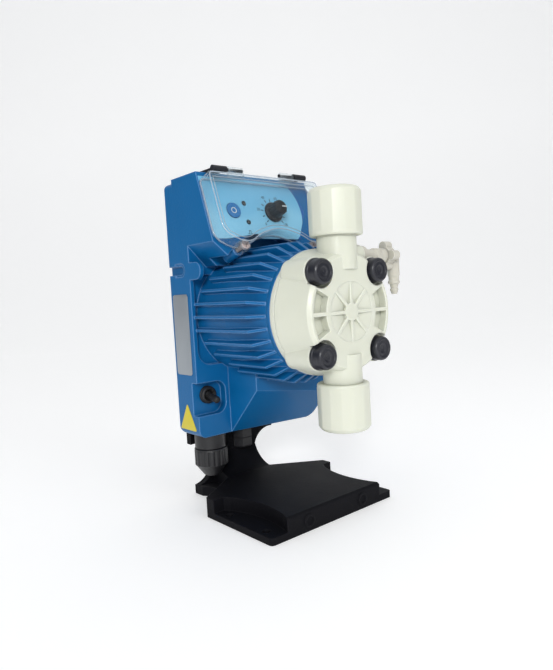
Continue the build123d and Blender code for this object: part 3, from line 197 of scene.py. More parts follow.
def corner_curves(corners: Array, before: Array, after: Array, radii: float | Array,
                  share: float, steps: int) -> Array:
    """Quadratic curves (1-t)^2 a + 2t(1-t) c + t^2 b at corners c.

    The ends a and b lie the radius, or a share of the shorter run, away from the corner.

    Args:
        corners: Array of n by 2 corner points.
        before: Run from each corner to the point before it.
        after: Run from each corner to the point after it.
        radii: Rounding length along each run, one for all or one for each corner.
        share: Largest share of the shorter run that a rounding takes.
        steps: Points on each curve.

    Returns:
        Array of points, corner after corner.
    """
    lengths = [np.linalg.norm(run, axis=1, keepdims=True) for run in (before, after)]
    reach = np.minimum(radii, share * np.minimum(*lengths))
    start = (corners + before / lengths[0] * reach)[:, None]
    end = (corners + after / lengths[1] * reach)[:, None]
    t = np.linspace(0, 1, steps)[None, :, None]
    curve = (1 - t) ** 2 * start + 2 * t * (1 - t) * corners[:, None] + t**2 * end
    return curve.reshape(-1, 2)


def rounded(corners: list, radius: float = 0.4, steps: int = 4) -> Array:
    """Open profile of straight runs whose inner corners are rounded.

    Args:
        corners: Points of two numbers.
        radius: Rounding length along each run.
        steps: Points on each rounded corner.

    Returns:
        Array of n by 2 points.
    """
    points = np.array(corners, dtype=float)
    inner = points[1:-1]
    curves = corner_curves(inner, points[:-2] - inner, points[2:] - inner, radius,
                           CORNER_SHARE, steps)
    return np.vstack([points[:1], curves, points[-1:]])


def ring_profile(inner: float, outer: float, tall: float) -> list:
    """Closed square profile of a ring that stands on height 0."""
    return [(inner, 0), (outer, 0), (outer, tall), (inner, tall), (inner, 0)]


def lathe(name: str, corners: list, centre: Array, along: Along, radius: float = 0.4,
          segments: int = 96, ripple=None) -> bpy.types.Object:
    """Turned piece: radius r(s) and height h(s) swept round by the angle a.

    The surface is centre + r(s) w(a, h) (cos a X + sin a Y) + h(s) Z, with w the ripple.
    A profile that starts or ends on the axis is closed by a pole; any other closes on
    itself as a ring.

    Args:
        name: Name of the piece.
        corners: Profile corners of (radius, height), bottom first.
        centre: Place of height 0 on the axis, in millimetres.
        along: Direction of growing height.
        radius: Rounding of the profile's corners.
        segments: Points round the axis.
        ripple: Function of (angle, height, radius) arrays that gives the factor w.

    Returns:
        The new object.
    """
    profile = rounded(corners, radius)
    capped = profile[0, 0] < 1e-6
    ring = profile
    if capped:
        ring = profile[1:-1]
    elif np.allclose(profile[0], profile[-1]):
        ring = profile[:-1]
    angle = np.linspace(0, 2 * math.pi, segments, endpoint=False)
    r = np.repeat(ring[:, :1], segments, axis=1)
    h = np.repeat(ring[:, 1:], segments, axis=1)
    a = np.repeat(angle[None], len(ring), axis=0)
    if ripple is not None:
        r = r * ripple(a, h, r)
    local = np.stack([r * np.cos(a), r * np.sin(a), h], axis=-1).reshape(-1, 3)
    faces = grid_faces(len(ring), segments, wrap_rows=not capped).tolist()
    if capped:
        ends = np.array([[0, 0, profile[0, 1]], [0, 0, profile[-1, 1]]])
        first = len(local)
        local = np.vstack([local, ends])
        column = np.arange(segments)
        beside = (column + 1) % segments
        low = np.stack([np.full(segments, first), beside, column], axis=1)
        base = (len(ring) - 1) * segments
        high = np.stack([np.full(segments, first + 1), base + column, base + beside], axis=1)
        faces += low.tolist() + high.tolist()
    return add_mesh(name, centre + local @ basis(along.value).T, faces)


def tube(name: str, path: Array, radius: float, segments: int = 12) -> bpy.types.Object:
    """Round wire along a closed path: path(s) + radius (cos a U(s) + sin a V(s)).

    U and V are the level and the rising direction square to the path.

    Args:
        name: Name of the piece.
        path: Array of n by 3 points, the last before the first.
        radius: Radius of the wire.
        segments: Points round the wire.

    Returns:
        The new object.
    """
    ahead = np.roll(path, -1, axis=0) - np.roll(path, 1, axis=0)
    ahead /= np.linalg.norm(ahead, axis=1, keepdims=True)
    guide = np.where(np.abs(ahead[:, 2:]) > 0.95, [[1.0, 0, 0]], [[0, 0, 1.0]])
    u = np.cross(guide, ahead)
    u /= np.linalg.norm(u, axis=1, keepdims=True)
    v = np.cross(ahead, u)
    a = np.linspace(0, 2 * math.pi, segments, endpoint=False)[None, :, None]
    points = path[:, None] + radius * (np.cos(a) * u[:, None] + np.sin(a) * v[:, None])
    faces = grid_faces(len(path), segments, wrap_rows=True).tolist()
    return add_mesh(name, points.reshape(-1, 3), faces)


def plate(name: str, outline: Array, thick: float, at, round_edge: float = 0.2,
          steps: int = 4) -> bpy.types.Object:
    """Flat piece with a softly rounded upper edge.

    The rim at height thick - e(1 - sin t) lies e(1 - cos t) inside the outline, for t
    from 0 to a quarter turn and e the edge's rounding.

    Args:
        name: Name of the piece.
        outline: Array of n by 2 points, anticlockwise.
        thick: Height of the flat top.
        at: Function that turns arrays of (x, y, height) into world points.
        round_edge: Rounding of the upper edge.
        steps: Points on the rounding.

    Returns:
        The new object.
    """
    count = len(outline)
    t = np.linspace(0, math.pi / 2, steps)
    inset = np.concatenate([[0.0], round_edge * (1 - np.cos(t))])
    height = np.concatenate([[0.0], thick - round_edge * (1 - np.sin(t))])
    faces = grid_faces(len(inset), count).tolist()
    last = (len(inset) - 1) * count
    faces += [list(range(count))[::-1], list(range(last, last + count))]
    return add_mesh(name, at(stacked_rims(outline, inset, height)), faces)


def stacked_rims(outline: Array, inset: Array, height: Array) -> Array:
    """Copies of an outline, one above another, as points of (x, y, height).

    Args:
        outline: Array of n by 2 points, anticlockwise.
        inset: How far inside the outline each rim lies.
        height: Height of each rim.

    Returns:
        Array of points, rim after rim.
    """
    rims = outline[None] - inset[:, None, None] * outward(outline)[None]
    lifts = np.repeat(height[:, None, None], len(outline), axis=1)
    return np.concatenate([rims, lifts], axis=2).reshape(-1, 3)


def outward(outline: Array) -> Array:
    """Unit outward normals of a closed anticlockwise outline."""
    ahead = np.roll(outline, -1, axis=0) - np.roll(outline, 1, axis=0)
    ahead /= np.maximum(np.linalg.norm(ahead, axis=1, keepdims=True), 1e-9)
    return np.column_stack([ahead[:, 1], -ahead[:, 0]])


def round_outline(corners: list, radii: list, steps: int = 10) -> Array:
    """Closed outline whose corners are rounded one by one, evenly resampled.

    Args:
        corners: Corner points of two numbers, anticlockwise.
        radii: Rounding length of each corner.
        steps: Points on each rounding.

    Returns:
        Array of n by 2 points.
    """
    points = np.array(corners, dtype=float)
    line = corner_curves(points, np.roll(points, 1, axis=0) - points,
                         np.roll(points, -1, axis=0) - points,
                         np.array(radii, dtype=float)[:, None], OUTLINE_SHARE, steps)
    loop = np.vstack([line, line[:1]])
    run = np.concatenate([[0], np.cumsum(np.linalg.norm(np.diff(loop, axis=0), axis=1))])
    even = np.linspace(0, run[-1], 2 * len(line), endpoint=False)
    return np.column_stack([np.interp(even, run, loop[:, 0]), np.interp(even, run, loop[:, 1])])


def panel_at(local: Array) -> Array:
    """World points of panel points (x, y up the slope, height above it)."""
    rise = np.array([on_panel(0, 0, 1) - on_panel(0, 0, 0)])
    up = np.array([on_panel(0, -1, 0) - on_panel(0, 0, 0)])
    side = np.array([[1.0, 0.0, 0.0]])
    return on_panel(0, 0, 0) + local[:, :1] * side + local[:, 1:2] * up + local[:, 2:] * rise


# ---------------------------------------------------------------- finishes
class Graph:
    """Short way to write a node tree."""

    def __init__(self, tree: bpy.types.NodeTree) -> None:
        """Start on an empty tree."""
        self.tree = tree
        tree.nodes.clear()

    def add(self, kind: str, inputs: dict | None = None, **settings) -> bpy.types.Node:
        """New node with its settings and inputs.

        Args:
            kind: Node type name without its ShaderNode prefix, or NodeGroup names whole.
            inputs: Input name or number to a value or to an output socket.
            settings: Properties of the node.

        Returns:
            The node.
        """
        full = kind if kind.startswith("NodeGroup") else f"ShaderNode{kind}"
        node = self.tree.nodes.new(full)
        for key, value in settings.items():
            setattr(node, key, value)
        for key, value in (inputs or {}).items():
            if isinstance(value, bpy.types.NodeSocket):
                self.tree.links.new(value, node.inputs[key])
            else:
                node.inputs[key].default_value = value
        return node

    def math(self, operation: str, *values) -> bpy.types.NodeSocket:
        """Output of a math node."""
        node = self.add("Math", dict(enumerate(values)), operation=operation)
        return node.outputs[0]

    def lean(self, normal: bpy.types.NodeSocket) -> bpy.types.NodeSocket:
        """How far a normal leans from the true one: 1 less their dot product."""
        true = self.add("NewGeometry").outputs["Normal"]
        dot = self.add("VectorMath", {0: normal, 1: true}, operation="DOT_PRODUCT")
        return self.math("SUBTRACT", 1.0, dot.outputs["Value"])

    def blend(self, factor, first, second) -> bpy.types.NodeSocket:
        """Output of a colour mix: first at factor 0 and second at 1."""
        node = self.add("Mix", data_type="RGBA", blend_type="MIX")
        for index, value in ((0, factor), (6, first), (7, second)):
            if isinstance(value, bpy.types.NodeSocket):
                self.tree.links.new(value, node.inputs[index])
            elif index == 0:
                node.inputs[index].default_value = value
            else:
                node.inputs[index].default_value = (*value, 1.0)
        return node.outputs[2]


def surface_group() -> bpy.types.ShaderNodeTree:
    """Shared group that gives a plain colour its grain, a painted edge highlight, painted shade
    in creases and bump.

    Inputs are the base colour, grain size and depth, mottling, edge light and width,
    crevice shade strength and roughness. Outputs are Color, Roughness and Normal.
    """
    tree = bpy.data.node_groups.new("Moulded surface", "ShaderNodeTree")
    face = tree.interface
    face.new_socket("Base", in_out="INPUT", socket_type="NodeSocketColor")
    for name in ("Roughness", "Grain size", "Grain depth", "Mottling", "Edge light",
                 "Edge width", "Crevice shade"):
        face.new_socket(name, in_out="INPUT", socket_type="NodeSocketFloat")
    face.new_socket("Color", in_out="OUTPUT", socket_type="NodeSocketColor")
    face.new_socket("Roughness", in_out="OUTPUT", socket_type="NodeSocketFloat")
    face.new_socket("Normal", in_out="OUTPUT", socket_type="NodeSocketVector")
    g = Graph(tree)
    given = g.add("NodeGroupInput").outputs
    where = g.add("TexCoord").outputs["Object"]
    grain = g.add("TexNoise", {"Vector": where, "Scale": given["Grain size"],
                               "Detail": 4.0, "Roughness": 0.6}).outputs["Fac"]
    cloud = g.add("TexNoise", {"Vector": where, "Scale": CLOUD_SCALE, "Detail": 5.0,
                               "Roughness": 0.55}).outputs["Fac"]
    streak = g.add("Mapping", {"Vector": where, "Scale": (1.0, 1.0, SMEAR_STRETCH)})
    smear = g.add("TexNoise", {"Vector": streak.outputs[0], "Scale": SMEAR_SCALE,
                               "Detail": 3.0})
    # Painted highlight: edges found by the bevel are blended towards a paler copy of the base
    # colour.
    rim = g.add("Bevel", {"Radius": given["Edge width"]}, samples=SHADE_SAMPLES).outputs[0]
    edge = g.math("MULTIPLY", g.lean(rim), EDGE_GAIN)
    highlight_mask = g.math("MULTIPLY", edge, g.math("ADD", 0.35, cloud))
    highlight_mask = g.add("Clamp", {0: g.math("MULTIPLY", highlight_mask, given["Edge light"])}).outputs[0]
    # Painted shade: ambient occlusion darkens creases, recesses and gaps between parts towards
    # a darker copy of the base, broken up by streaky noise, and makes them a little rougher.
    cleft = g.add("AmbientOcclusion", {"Distance": CLEFT_REACH},
                  samples=SHADE_SAMPLES).outputs["AO"]
    hidden = g.math("MULTIPLY", g.math("SUBTRACT", 1.0, cleft), given["Crevice shade"])
    crevice_shade = g.add("Clamp", {0: g.math("MULTIPLY", hidden, g.math("ADD", 0.5, smear.outputs[0]))})
    sway = g.math("MULTIPLY", g.math("SUBTRACT", cloud, 0.5), given["Mottling"])
    tone = g.add("HueSaturation", {"Color": given["Base"], "Value": g.math("ADD", 1.0, sway)})
    pale = g.add("HueSaturation", {"Color": given["Base"], "Value": 1.9, "Saturation": 0.76})
    colour = g.blend(highlight_mask, tone.outputs[0], pale.outputs[0])
    dark = g.add("HueSaturation", {"Color": given["Base"], "Value": 0.45, "Saturation": 0.9})
    colour = g.blend(crevice_shade.outputs[0], colour, dark.outputs[0])
    rough = g.math("ADD", given["Roughness"], g.math("MULTIPLY", sway, 0.6))
    rough = g.math("ADD", rough, g.math("MULTIPLY", crevice_shade.outputs[0], 0.25))
    height = g.math("ADD", grain, g.math("MULTIPLY", cloud, 0.3))
    bump = g.add("Bump", {"Strength": given["Grain depth"], "Distance": BUMP_HEIGHT,
                          "Height": height, "Normal": rim})
    g.add("NodeGroupOutput", {"Color": colour, "Roughness": rough,
                              "Normal": bump.outputs[0]})
    return tree


def new_material(name: str) -> tuple[bpy.types.Material, Graph]:
    """Material with an empty tree, and the graph that writes on it."""
    made = bpy.data.materials.new(name)
    made.use_nodes = True
    return made, Graph(made.node_tree)


@dataclass(frozen=True)
class Look:
    """Anything that a piece can wear: a name and the shader that its kind writes."""

    name: str

    def material(self, group: bpy.types.ShaderNodeTree) -> bpy.types.Material:
        """Material of this look.

        Args:
            group: The shared surface group.

        Returns:
            The material, named after the look.
        """
        made, g = new_material(self.name)
        g.add("OutputMaterial", {"Surface": self.shader(g, group)})
        return made


@dataclass(frozen=True)
class Finish(Look):
    """One opaque finish with its painted edge highlight and its painted shade in creases."""

    base: Colour
    roughness: float = 0.45
    metallic: float = 0.0
    grain_size: float = 900.0
    grain_depth: float = 0.25
    mottling: float = 0.12
    # edge_light sets the painted edge highlight, and the crevice value below sets the painted
    # shade in creases.
    edge_light: float = 0.5
    edge_width: float = 0.0006
    crevice_shade: float = 0.6
    coat: float = 0.0
    glow_depth: float = 0.0
    specular: float = 0.5

    def shader(self, g: Graph, group: bpy.types.ShaderNodeTree) -> bpy.types.NodeSocket:
        """Plastic, rubber, paint or metal with the shared grain, painted edge highlights and
        painted crevice shade.

        Args:
            g: Graph of the material.
            group: The shared surface group.

        Returns:
            The output of the shader.
        """
        out = g.add("Group", {
            "Base": (*self.base, 1.0), "Roughness": self.roughness,
            "Grain size": self.grain_size, "Grain depth": self.grain_depth,
            "Mottling": self.mottling, "Edge light": self.edge_light,
            "Edge width": self.edge_width, "Crevice shade": self.crevice_shade}, node_tree=group).outputs
        shade = g.add("BsdfPrincipled", {
            "Base Color": out["Color"], "Roughness": out["Roughness"],
            "Normal": out["Normal"], "Metallic": self.metallic, "Coat Weight": self.coat,
            "Coat Roughness": 0.12, "Specular IOR Level": self.specular})
        if self.glow_depth > 0:
            shade.inputs["Subsurface Weight"].default_value = 0.35
            shade.inputs["Subsurface Radius"].default_value = (1.0, 0.95, 0.8)
            shade.inputs["Subsurface Scale"].default_value = self.glow_depth
        return shade.outputs[0]


@dataclass(frozen=True)
class ClearFinish(Look):
    """Clear moulded plastic whose edges and slanting faces catch the light."""

    tint: Colour
    roughness: float = 0.06
    veil: float = 0.02
    edge_width: float = 0.0012

    def shader(self, g: Graph, group: bpy.types.ShaderNodeTree) -> bpy.types.NodeSocket:
        """Shader that lets light straight through and shines at its edges.

        Args:
            g: Graph of the material.
            group: The shared surface group.

        Returns:
            The output of the shader.
        """
        look = g.add("Group", {"Base": (0.9, 0.95, 1.0, 1.0), "Roughness": self.roughness,
                               "Grain size": 90.0, "Grain depth": 0.06, "Edge light": 0.0,
                               "Edge width": self.edge_width, "Crevice shade": 0.0}, node_tree=group)
        normal = look.outputs["Normal"]
        edge = g.math("MULTIPLY", g.lean(normal), 2.0)
        edge = g.add("Clamp", {0: edge, 2: 0.3}).outputs[0]
        facing = g.add("LayerWeight", {"Blend": 0.5}).outputs["Facing"]
        slant = g.math("MULTIPLY", g.math("POWER", facing, 3.0), 0.5)
        share = g.math("ADD", g.math("ADD", edge, slant), self.veil)
        share = g.add("Clamp", {0: share}).outputs[0]
        clear = g.add("BsdfTransparent", {"Color": (*self.tint, 1.0)}).outputs[0]
        milk = g.add("BsdfPrincipled", {"Base Color": (0.78, 0.85, 0.9, 1.0),
                                        "Roughness": 0.12, "Normal": normal,
                                        "Specular IOR Level": 0.9}).outputs[0]
        body = g.add("MixShader", {0: share, 1: clear, 2: milk}).outputs[0]
        shine = g.add("BsdfGlossy", {"Roughness": self.roughness, "Normal": normal}).outputs[0]
        glance = g.math("ADD", g.math("MULTIPLY", g.math("POWER", facing, 4.0), 0.6), 0.012)
        return g.add("MixShader", {0: glance, 1: body, 2: shine}).outputs[0]


@dataclass(frozen=True)
class WeaveFinish(Look):
    """Copper winding: fine level turns of enamelled wire."""

    base: Colour = (0.55, 0.2, 0.07)
    wire_size: float = 1400.0

    def shader(self, g: Graph, group: bpy.types.ShaderNodeTree) -> bpy.types.NodeSocket:
        """Metal with a wave bump along the coil.

        Args:
            g: Graph of the material.
            group: The shared surface group.

        Returns:
            The output of the shader.
        """
        look = g.add("Group", {"Base": (*self.base, 1.0), "Roughness": 0.3},
                     node_tree=group)
        where = g.add("TexCoord").outputs["Object"]
        turns = g.add("TexWave", {"Vector": where, "Scale": self.wire_size,
                                  "Distortion": 0.3}, bands_direction="Y")
        bump = g.add("Bump", {"Height": turns.outputs["Fac"], "Distance": 0.0003,
                              "Normal": look.outputs["Normal"]})
        shade = g.add("BsdfPrincipled", {"Base Color": look.outputs["Color"], "Metallic": 0.8,
                                         "Roughness": 0.3, "Normal": bump.outputs[0]})
        return shade.outputs[0]


@dataclass(frozen=True)
class FilmFinish(Look):
    """Printed film of the panel: pale blue field that ends in an arc on the right."""

    light: Colour = (0.26, 0.58, 0.78)
    deep: Colour = (0.16, 0.47, 0.70)
    ground: Colour = (0.004, 0.10, 0.36)
    arc_x: float = 0.0075
    arc_z: float = 0.228
    arc_r: float = 0.032
    arc_from: float = 0.027

    def shader(self, g: Graph, group: bpy.types.ShaderNodeTree) -> bpy.types.NodeSocket:
        """Print with a soft gradient and a dark ground beyond its arc.

        Args:
            g: Graph of the material.
            group: The shared surface group.

        Returns:
            The output of the shader.
        """
        where = g.add("TexCoord").outputs["Object"]
        axes = g.add("SeparateXYZ", {0: where}).outputs
        wave = g.math("MULTIPLY", g.math("SINE", g.math("MULTIPLY", axes["X"], 70.0)), 0.006)
        level = g.math("SUBTRACT", axes["Z"], g.math("ADD", wave, 0.2215))
        share = g.add("MapRange", {0: level, 1: -0.004, 2: 0.012})
        share.interpolation_type = "SMOOTHSTEP"
        colour = g.blend(share.outputs[0], self.light, self.deep)
        across = g.math("SUBTRACT", axes["X"], self.arc_x)
        along = g.math("SUBTRACT", axes["Z"], self.arc_z)
        square = g.math("MULTIPLY", along, along)
        square = g.math("ADD", g.math("MULTIPLY", across, across),
                        g.math("DIVIDE", square, math.cos(PANEL_TILT) ** 2))
        beyond = g.add("MapRange", {0: g.math("SQRT", square), 1: self.arc_r,
                                    2: self.arc_r + 0.0002}).outputs[0]
        right = g.math("GREATER_THAN", axes["X"], self.arc_from)
        colour = g.blend(g.math("MULTIPLY", beyond, right), colour, self.ground)
        look = g.add("Group", {"Base": colour, "Roughness": 0.32, "Grain size": 1400.0,
                               "Grain depth": 0.12, "Mottling": 0.06, "Edge light": 0.3,
                               "Edge width": 0.0003, "Crevice shade": 0.3}, node_tree=group)
        shade = g.add("BsdfPrincipled", {"Base Color": look.outputs["Color"],
                                         "Roughness": look.outputs["Roughness"],
                                         "Normal": look.outputs["Normal"],
                                         "Coat Weight": 0.3})
        return shade.outputs[0]


# In each finish, edge_light sets the painted edge highlight and the crevice value sets the
# painted shade in creases and recesses.
FINISHES = (
    Finish("casing_paint", (0.002, 0.118, 0.32), 0.36, grain_size=520, grain_depth=0.32,
           mottling=0.2, edge_light=0.7, edge_width=0.0015, crevice_shade=0.05, specular=0.25),
    Finish("cover_plastic", (0.002, 0.115, 0.32), 0.5, grain_size=800, edge_light=0.4,
           specular=0.25),
    Finish("black_rubber", (0.012, 0.012, 0.013), 0.55, grain_size=1100, edge_light=0.9),
    Finish("seal_rubber", (0.02, 0.012, 0.012), 0.5),
    Finish("zinc_screws", (0.62, 0.63, 0.64), 0.3, metallic=1.0, mottling=0.3),
    FilmFinish("membrane_film"),
    Finish("button_blue", (0.008, 0.16, 0.42), 0.35, grain_size=1500, edge_width=0.0004),
    Finish("lamp_lens", (0.012, 0.02, 0.02), 0.12, coat=0.6, edge_width=0.0002),
    Finish("board_laminate", (0.01, 0.12, 0.04), 0.35, coat=0.4),
    Finish("component_black", (0.014, 0.014, 0.015), 0.5),
    Finish("knob_black", (0.007, 0.007, 0.010), 0.4, edge_light=1.2, edge_width=0.0004,
           specular=0.3),
    Finish("pointer_white", (0.85, 0.86, 0.86), 0.4),
    Finish("steel", (0.56, 0.57, 0.58), 0.28, metallic=1.0, grain_size=1600, mottling=0.25),
    ClearFinish("clear_cover", (0.965, 0.985, 0.99), veil=0.0),
    ClearFinish("clear_edge", (0.82, 0.85, 0.93), veil=0.3),
    Finish("lid_screw_plastic", (0.50, 0.40, 0.38), 0.3, grain_size=1500, glow_depth=0.001),
    Finish("hinge_black", (0.012, 0.013, 0.018), 0.42, edge_light=1.0),
    Finish("yoke_iron", (0.07, 0.07, 0.075), 0.5, metallic=0.8, mottling=0.4),
    WeaveFinish("copper_winding"),
    Finish("head_plastic", (0.69, 0.705, 0.60), 0.36, grain_size=700, grain_depth=0.16,
           mottling=0.07, edge_light=0.25, edge_width=0.0012, crevice_shade=0.35, glow_depth=0.0025),
    Finish("diaphragm_white", (0.85, 0.85, 0.83), 0.3, glow_depth=0.001),
    Finish("valve_plastic", (0.71, 0.72, 0.64), 0.34, glow_depth=0.001),
    Finish("ball_ceramic", (0.9, 0.9, 0.88), 0.12, coat=0.5),
    Finish("cap_black", (0.014, 0.015, 0.022), 0.34, grain_size=900, edge_light=1.6,
           edge_width=0.0007, crevice_shade=0.3),
    Finish("bleed_plastic", (0.58, 0.56, 0.49), 0.4, grain_size=900, edge_width=0.0006,
           glow_depth=0.001),
    Finish("gland_black", (0.012, 0.012, 0.014), 0.36, edge_light=1.2, edge_width=0.0005),
    Finish("bracket_black", (0.005, 0.005, 0.007), 0.6, grain_size=620, grain_depth=0.4,
           mottling=0.25, edge_light=1.6, edge_width=0.001, crevice_shade=0.5, specular=0.1),
    Finish("plate_silver", (0.34, 0.37, 0.40), 0.36, metallic=0.55, grain_size=1500,
           mottling=0.12, edge_light=0.4, edge_width=0.0003),
    Finish("sign_yellow", (0.66, 0.55, 0.03), 0.42, grain_size=1500, edge_light=0.3,
           edge_width=0.0003),
    Finish("print_dark", (0.010, 0.016, 0.035), 0.5, edge_light=0.0, crevice_shade=0.0),
    Finish("print_white", (0.82, 0.84, 0.86), 0.45, edge_light=0.0, crevice_shade=0.0),
)


class Palette:
    """Every finish of the pump, made once and given out by slot name."""

    def __init__(self) -> None:
        """Make the shared group and every material."""
        group = surface_group()
        self.materials = {finish.name: finish.material(group) for finish in FINISHES}

    def dress(self, piece: bpy.types.Object, slot: str) -> None:
        """Give a piece the material of a slot, and no other."""
        piece.data.materials.clear()
        piece.data.materials.append(self.materials[slot])


@dataclass
class Assembly:
    """One sub-assembly: it builds its own pieces and dresses its CAD nodes."""

    palette: Palette
    frame: dict
    made: list = field(default_factory=list)

    def own(self, slot: str, *nodes: str) -> None:
        """Dress CAD nodes that stay as they are.

        Args:
            slot: Finish that they wear.
            nodes: Names of the nodes.
        """
        for node in nodes:
            self.palette.dress(self.frame["nodes"][node], slot)
            LOG.info("dressed %s as %s", node, slot)

    def put(self, piece: bpy.types.Object, slot: str, mark: Mark, *nodes: str,
            recorded: str | None = None) -> None:
        """Finish a new piece: its material, its body and the nodes it stands for.

        Args:
            piece: The new object.
            slot: Finish that it wears.
            mark: Body that it rides on.
            nodes: CAD nodes that it stands for.
            recorded: Slot of the record, where the finish isn't one of its slots; not used.
        """
        self.palette.dress(piece, slot)
        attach(piece, mark.value)
        if nodes:
            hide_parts(*nodes)
        self.made.append(piece.name)
        LOG.info("built %s with %d faces", piece.name, len(piece.data.polygons))


@dataclass
class Casing(Assembly):
    """Finned front casing, its rear cover and what shows on its left side."""

    wall_x: float = -53.5
    plate_thin: float = 0.4
    plate_box: tuple = ((5.6, 103.6), (26.9, 165.9))
    sign: tuple = ((4.6, 60.1), (27.9, 60.1), (16.25, 80.9))

    def sticker(self, name: str, corners: list, radius: float, slot: str,
                node: str) -> None:
        """Thin bare plate with rounded corners on the left wall.

        Args:
            name: Name of the piece.
            corners: Corners of (depth, height), anticlockwise seen from the left.
            radius: Rounding of the corners.
            slot: Finish that it wears.
            node: CAD node that it stands for.
        """
        line = round_outline(corners, [radius] * len(corners), steps=8)
        piece = plate(name, line, self.plate_thin, lambda p: np.column_stack(
            [self.wall_x - p[:, 2], BACK_Y - p[:, 0], p[:, 1]]), round_edge=0.12)
        self.put(piece, slot, Mark.HOUSING, node)

    def build(self) -> None:
        """Dress the casing and the cover, and build the bare plates."""
        self.own("casing_paint", "front_casing")
        self.own("cover_plastic", "rear_cover")
        self.own("black_rubber", "cover_gasket")
        self.own("zinc_screws", "cover_screws_rear")
        (left, low), (right, high) = self.plate_box
        self.sticker("label_plate", [(left, low), (right, low), (right, high), (left, high)],
                     2.0, "plate_silver", "side_plate")
        self.sticker("sign_plate", list(self.sign), 1.6, "sign_yellow", "side_triangle")


@dataclass
class Drive(Assembly):
    """Solenoid, shaft and return spring inside the fins."""

    def build(self) -> None:
        """Dress the inner pieces."""
        self.own("yoke_iron", "solenoid_yoke")
        self.own("component_black", "coil_bobbin")
        self.own("copper_winding", "coil_winding")
        self.own("steel", "armature", "drive_shaft", "return_spring")
        self.own("diaphragm_white", "diaphragm", "diaphragm_core")


